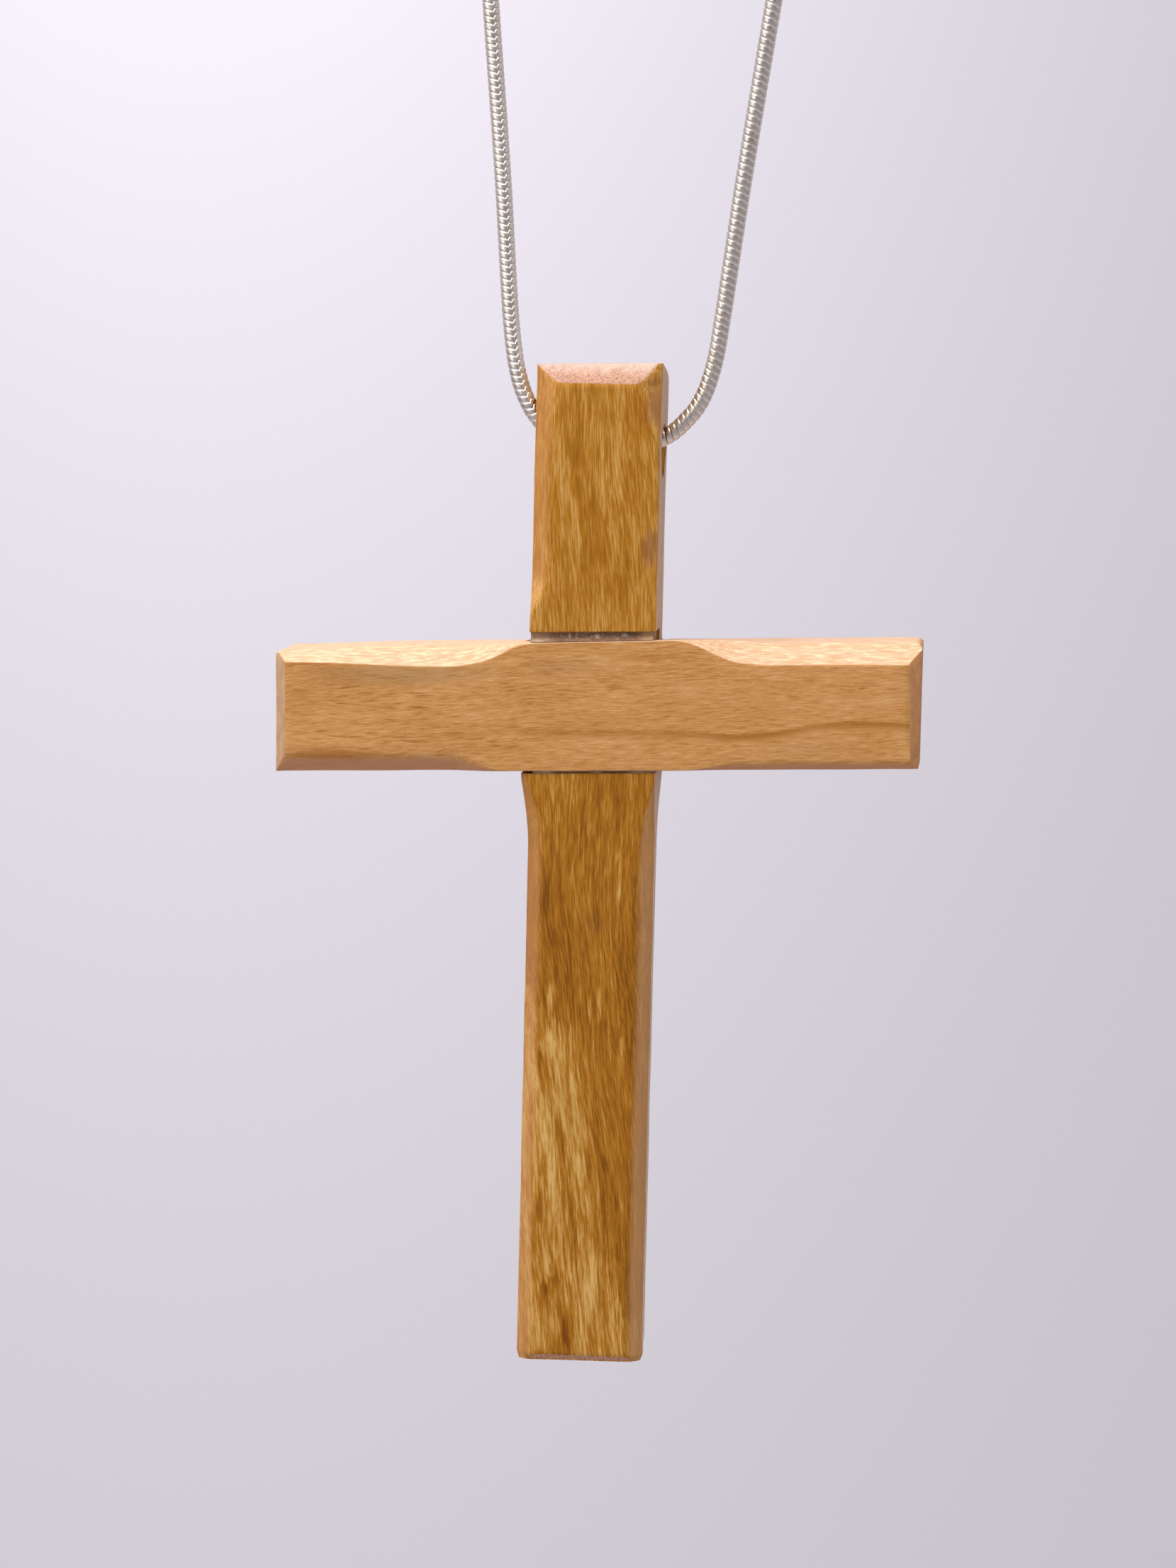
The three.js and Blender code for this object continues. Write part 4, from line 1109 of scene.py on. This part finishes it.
class NECKLACE_OT_glue(bpy.types.Operator):
    """Fill the joint: the hollow bead above the crossbar, the line below it and the film inside"""

    bl_idname = "necklace.glue"
    bl_label = "Glue"

    def execute(self, context):
        cross = context.scene.necklace_cross
        material = self.dried(cross)
        half = cross.bar_height / 2
        bar, post = GLUE_AT_BAR, GLUE_AT_POST
        pieces = [
            self.fillet(half + GLUE_GAP, half + TOP_SLACK - GLUE_GAP, bar, post, TOP_HOLLOW),
            self.fillet(-half - BOTTOM_SLACK + GLUE_GAP, -half - GLUE_GAP, post, bar, BOTTOM_HOLLOW),
            self.spill(cross, -1),
            self.spill(cross, 1),
        ]
        vertices, faces = [], []
        for points, sides in pieces:
            faces += [[len(vertices) + corner for corner in face] for face in sides]
            vertices += [BAR_FRAME @ point for point in points]
        obj = mesh_object("glue_fillets", vertices, faces)
        obj.data.materials.append(material)
        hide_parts("glue_bead")
        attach(obj, "cross")
        dress("glue_film", material)
        return {"FINISHED"}

    def fillet(self, low, high, low_front, high_front, hollow):
        """A strip of glue between two levels, its front drawn in where it shrank."""
        points = []
        for step in range(GLUE_STEPS + 1):
            x = GLUE_ASIDE + GLUE_HALF * (2 * step / GLUE_STEPS - 1)
            foot = low + (front_rise(x) if low > 0 else 0.0)
            for level in range(GLUE_LEVELS + 1):
                t = level / GLUE_LEVELS
                ripple = RIPPLE * noise.noise(Vector((x, low, t * high)) / RIPPLE_SIZE)
                drawn_in = hollow * (1 - (2 * t - 1) ** 2 + ripple * math.sin(math.pi * t))
                front = low_front + (high_front - low_front) * t + drawn_in
                points.append(Vector((x, front, foot + t * (high - foot))))
            points += [Vector((x, GLUE_FILM / 2, high)), Vector((x, GLUE_FILM / 2, low))]
        return points, tube_faces(GLUE_STEPS + 1, GLUE_LEVELS + 3)

    def spill(self, cross, side):
        """Glue pressed out between the post's side and the slot behind the crossbar."""
        half = cross.bar_height / 2
        near = cross.post_width / 2 + GLUE_GAP
        far = near + SPILL_WIDTH
        start = GLUE_AT_POST / 4
        points = []
        for step in range(SPILL_STEPS + 1):
            y = start + (SPILL_BACK - start) * step / SPILL_STEPS
            rise = SPILL_RISE * (0.7 + noise.noise(Vector((side, y / SPILL_WAVE, 0.5))))
            outline = [(near, half - SPILL_DROP), (near, half + rise), ((near + far) / 2, half + rise / 3)]
            outline += [(far, half), (far, half - SPILL_DROP)]
            points += [Vector((side * x, y, z)) for x, z in outline[::-side]]
        return points, tube_faces(SPILL_STEPS + 1, 5)

    def dried(self, cross):
        """Half-clear glue over dark wood, clouded and with pale bubbles."""
        finish = Finish("dried_glue")
        place = finish.place(PENDANT_AT)
        x, y, z = finish.split(place)
        cloud = finish.grained(place, (0.7, 1.5, 1.6), 5.0, 0.6)
        edge = finish.most(finish.ease(x, -2.2, -4.0), finish.ease(x, 3.0, 4.0))
        dark = [channel * 0.6 for channel in cross.glue]
        ground = finish.mix(finish.ease(cloud, 0.35, 0.62), dark, cross.glue)
        ground = finish.mix(finish.product(edge, 0.7), ground, srgb(178, 138, 100))
        specks = finish.ease(finish.grained(place, (6.0, 6.0, 6.0), 3.0), 0.52, 0.72)
        level = finish.scaled(cloud, 0.6, finish.scaled(z, 1.0, -0.3))
        ragged = finish.joined(finish.scaled(specks, 0.5, x), y, level)
        bubbles = finish.most(finish.product(specks, 0.35), finish.ovals(ragged, self.BUBBLES))
        finish.wear(
            Base_Color=finish.mix(bubbles, ground, srgb(204, 186, 166)),
            Roughness=finish.ease(cloud, 0.3, 0.7, 0.35, 0.6),
            Specular_IOR_Level=0.35,
            Normal=finish.bump(specks, 0.3, 0.00003),
        )
        return finish.material

    BUBBLES = (
        (-1.6, -13.1, 0.14, 0.3, 0, 0.55), (-1.1, -13.1, 0.14, 0.3, 0, 0.5),
        (0.35, -13.1, 0.2, 0.22, 0, 0.7), (2.3, -13.0, 0.3, 0.2, 0, 0.45), (-3.8, -13.5, 0.6, 0.15, 0, 0.4),
        (-3.0, -22.8, 0.9, 0.2, 0, 0.6), (0.6, -22.75, 0.5, 0.2, 0, 0.5), (3.4, -22.7, 0.9, 0.2, 0, 0.6),
    )


# The camera stands a little to the right of the cross and above it, and is turned about its own axis.
CAMERA_SIDE, CAMERA_RISE, CAMERA_ROLL = math.radians(5), math.radians(6), math.radians(1.35)
VIEW_MIDDLE = PENDANT_AT + Vector((-0.000049, -0.0035, -0.023545))
SENSOR = 36.0
NEAREST, FARTHEST = 0.01, 20.0
# The floor and the wall behind, and the painted pool of light on the wall.
FLOOR_DROP, WALL_AT, WALL_TOP, HALF_ROOM = 0.2, 0.45, 2.0, 3.0
SWEEP_RADIUS, SWEEP_STEPS = 0.12, 24
GLOW_AT, GLOW_REACH, GLOW_GAIN = (-0.1135, 0.45, 0.279), (0.0826, 1.0, 0.2167), 3.93
OVERHEAD_AT, SIDE_AT, LAMP_SIZE = (-0.09, -0.10, 0.21), (-0.33, -0.30, 0.0), 0.35
# The even light on the right and on the left, as shares of the room's.
EVEN_LIGHT = 0.95, 1.05
# Where metal and gloss see a dark room, and how the light falls off towards it, in two steps.
DARK_SIDE = (0.35, -0.93, -0.1)
DARK_FALLS = ((0.1, 1.0, 0.95, 0.62), (0.84, 0.98, 1.0, 0.45))


class NECKLACE_OT_camera(bpy.types.Operator):
    """Put the camera where the photograph was taken from"""

    bl_idname = "necklace.camera"
    bl_label = "Camera"

    def execute(self, context):
        stage = context.scene.necklace_stage
        rise, side = CAMERA_RISE, CAMERA_SIDE
        back = Vector((math.sin(side) * math.cos(rise), -math.cos(side) * math.cos(rise), math.sin(rise)))
        level = Vector((math.cos(side), math.sin(side), 0.0))
        above = back.cross(level)
        right = level * math.cos(CAMERA_ROLL) + above * math.sin(CAMERA_ROLL)
        up = above * math.cos(CAMERA_ROLL) - level * math.sin(CAMERA_ROLL)
        data = bpy.data.cameras.new("camera")
        data.sensor_fit = "VERTICAL"
        data.sensor_height = SENSOR
        data.lens = stage.lens
        data.clip_start, data.clip_end = NEAREST, FARTHEST
        camera = bpy.data.objects.new("camera", data)
        turn = Matrix((right, up, back)).transposed().to_4x4()
        camera.matrix_world = Matrix.Translation(VIEW_MIDDLE + back * stage.distance) @ turn
        context.scene.collection.objects.link(camera)
        context.scene.camera = camera
        return {"FINISHED"}


class NECKLACE_OT_stage(bpy.types.Operator):
    """Set the floor, the backdrop, the lamps and the world"""

    bl_idname = "necklace.stage"
    bl_label = "Stage"

    def execute(self, context):
        stage = context.scene.necklace_stage
        floor = CAD_BOX[0][2] - FLOOR_DROP
        sweep = self.sweep(floor)
        sweep.data.materials.append(self.paint(stage, floor))
        self.lamp("overhead_lamp", OVERHEAD_AT, stage.key_power)
        self.lamp("side_lamp", SIDE_AT, stage.fill_power)
        self.world(context, stage)
        context.scene.view_settings.view_transform = "Standard"
        return {"FINISHED"}

    def sweep(self, level):
        """One sheet: the floor, a quarter turn and the wall."""
        foot = WALL_AT - SWEEP_RADIUS
        profile = [(-HALF_ROOM, level), (foot, level)]
        for step in range(1, SWEEP_STEPS):
            turn = step / SWEEP_STEPS * math.pi / 2
            rise = SWEEP_RADIUS * (1 - math.cos(turn))
            profile.append((foot + SWEEP_RADIUS * math.sin(turn), level + rise))
        profile += [(WALL_AT, level + SWEEP_RADIUS), (WALL_AT, WALL_TOP)]
        vertices = [(x, y, z) for y, z in profile for x in (-HALF_ROOM, HALF_ROOM)]
        faces = [(2 * i, 2 * i + 1, 2 * i + 3, 2 * i + 2) for i in range(len(profile) - 1)]
        return mesh_object("backdrop", vertices, faces)

    def paint(self, stage, level):
        """Pale paint with a painted pool of light, which the wall gives out as its own light; the floor
        shows it lit, with its shadows.
        """
        finish = Finish("backdrop_paint")
        place = finish.place()
        reach, middle = ([value / MM for value in row] for row in (GLOW_REACH, GLOW_AT))
        far = finish.vector("LENGTH", finish.mapped(place, reach, move=middle, kind="TEXTURE"))
        near = finish.math("EXPONENT", finish.product(far, -1.0))
        glow = finish.math("MINIMUM", finish.product(near, GLOW_GAIN), 1.0)
        shade = finish.mix(glow, stage.backdrop_dim, stage.backdrop_glow)
        finish.wear(Base_Color=shade, Roughness=1.0, Specular_IOR_Level=0.0)
        seen = finish.most(finish.ray("Camera"), finish.ray("Glossy"))
        seen = finish.most(seen, finish.ray("Transmission"))
        height = finish.split(place)[2]
        lit = finish.product(seen, finish.ease(height, level / MM, (level + SWEEP_RADIUS / 4) / MM))
        # The wall glows with its painted colour, though it is no lamp.
        glowing = finish.node("ShaderNodeEmission", {"Color": shade, "Strength": 1.0})
        mixed = finish.node("ShaderNodeMixShader", {0: lit, 1: finish.skin.outputs[0], 2: glowing})
        finish.put(finish.tree.nodes["Material Output"].inputs[0], mixed)
        return finish.material

    def lamp(self, name, where, power):
        """A round lamp that is aimed at the middle of the view."""
        data = bpy.data.lights.new(name, "AREA")
        data.shape = "DISK"
        data.size = LAMP_SIZE
        data.energy = power
        lamp = bpy.data.objects.new(name, data)
        lamp.rotation_euler = (VIEW_MIDDLE - Vector(where)).to_track_quat("-Z", "Y").to_euler()
        lamp.location = where
        bpy.context.scene.collection.objects.link(lamp)

    def world(self, context, stage):
        """Even light, a little stronger from the left; metal and gloss see a dark room behind the camera."""
        world = bpy.data.worlds.new("studio")
        world.use_nodes = True
        context.scene.world = world
        light = Nodes(world.node_tree)
        spot = light.node("ShaderNodeTexCoord", {}, "Generated")
        left = light.vector("DOT_PRODUCT", spot, (-1, 0, 0))
        diffuse = light.span(left, -1.0, 1.0, *(share * stage.room for share in EVEN_LIGHT))
        dark = light.vector("DOT_PRODUCT", spot, DARK_SIDE)
        gloss = light.product(*(light.span(dark, *fall) for fall in DARK_FALLS))
        strength = light.between(light.ray("Glossy"), diffuse, gloss)
        seen = light.most(light.ray("Camera"), light.ray("Transmission"))
        tinted = light.most(seen, light.ray("Glossy"))
        background = world.node_tree.nodes["Background"]
        light.put(background.inputs["Color"], light.mix(tinted, (1.0, 1.0, 1.0), stage.surroundings))
        light.put(background.inputs["Strength"], light.between(seen, strength, 1.0))


class NECKLACE_PT_panel(bpy.types.Panel):
    """The necklace's sizes, colours and pieces"""

    bl_idname = "NECKLACE_PT_panel"
    bl_label = "Cross necklace"
    bl_space_type = "VIEW_3D"
    bl_region_type = "UI"
    bl_category = "Necklace"

    def draw(self, context):
        for group in SETTINGS:
            box = self.layout.box()
            settings = getattr(context.scene, group)
            for name in settings.__annotations__:
                box.prop(settings, name)
        for operator in OPERATORS:
            self.layout.operator(operator.bl_idname)


OPERATORS = (
    NECKLACE_OT_camera,
    NECKLACE_OT_fittings,
    NECKLACE_OT_chain,
    NECKLACE_OT_post,
    NECKLACE_OT_crossbar,
    NECKLACE_OT_glue,
    NECKLACE_OT_stage,
)
SETTINGS = {
    "necklace_chain": ChainSettings,
    "necklace_cross": CrossSettings,
    "necklace_stage": StageSettings,
}


def register():
    for name, group in SETTINGS.items():
        bpy.utils.register_class(group)
        setattr(bpy.types.Scene, name, bpy.props.PointerProperty(type=group))
    for cls in (*OPERATORS, NECKLACE_PT_panel):
        bpy.utils.register_class(cls)


def unregister():
    for cls in reversed((*OPERATORS, NECKLACE_PT_panel)):
        bpy.utils.unregister_class(cls)
    for name, group in SETTINGS.items():
        delattr(bpy.types.Scene, name)
        bpy.utils.unregister_class(group)


def main():
    register()
    bpy.ops.necklace.camera()
    bpy.ops.necklace.fittings()
    bpy.ops.necklace.chain()
    bpy.ops.necklace.post()
    bpy.ops.necklace.crossbar()
    bpy.ops.necklace.glue()
    bpy.ops.necklace.stage()


if __name__ == "__main__":
    main()
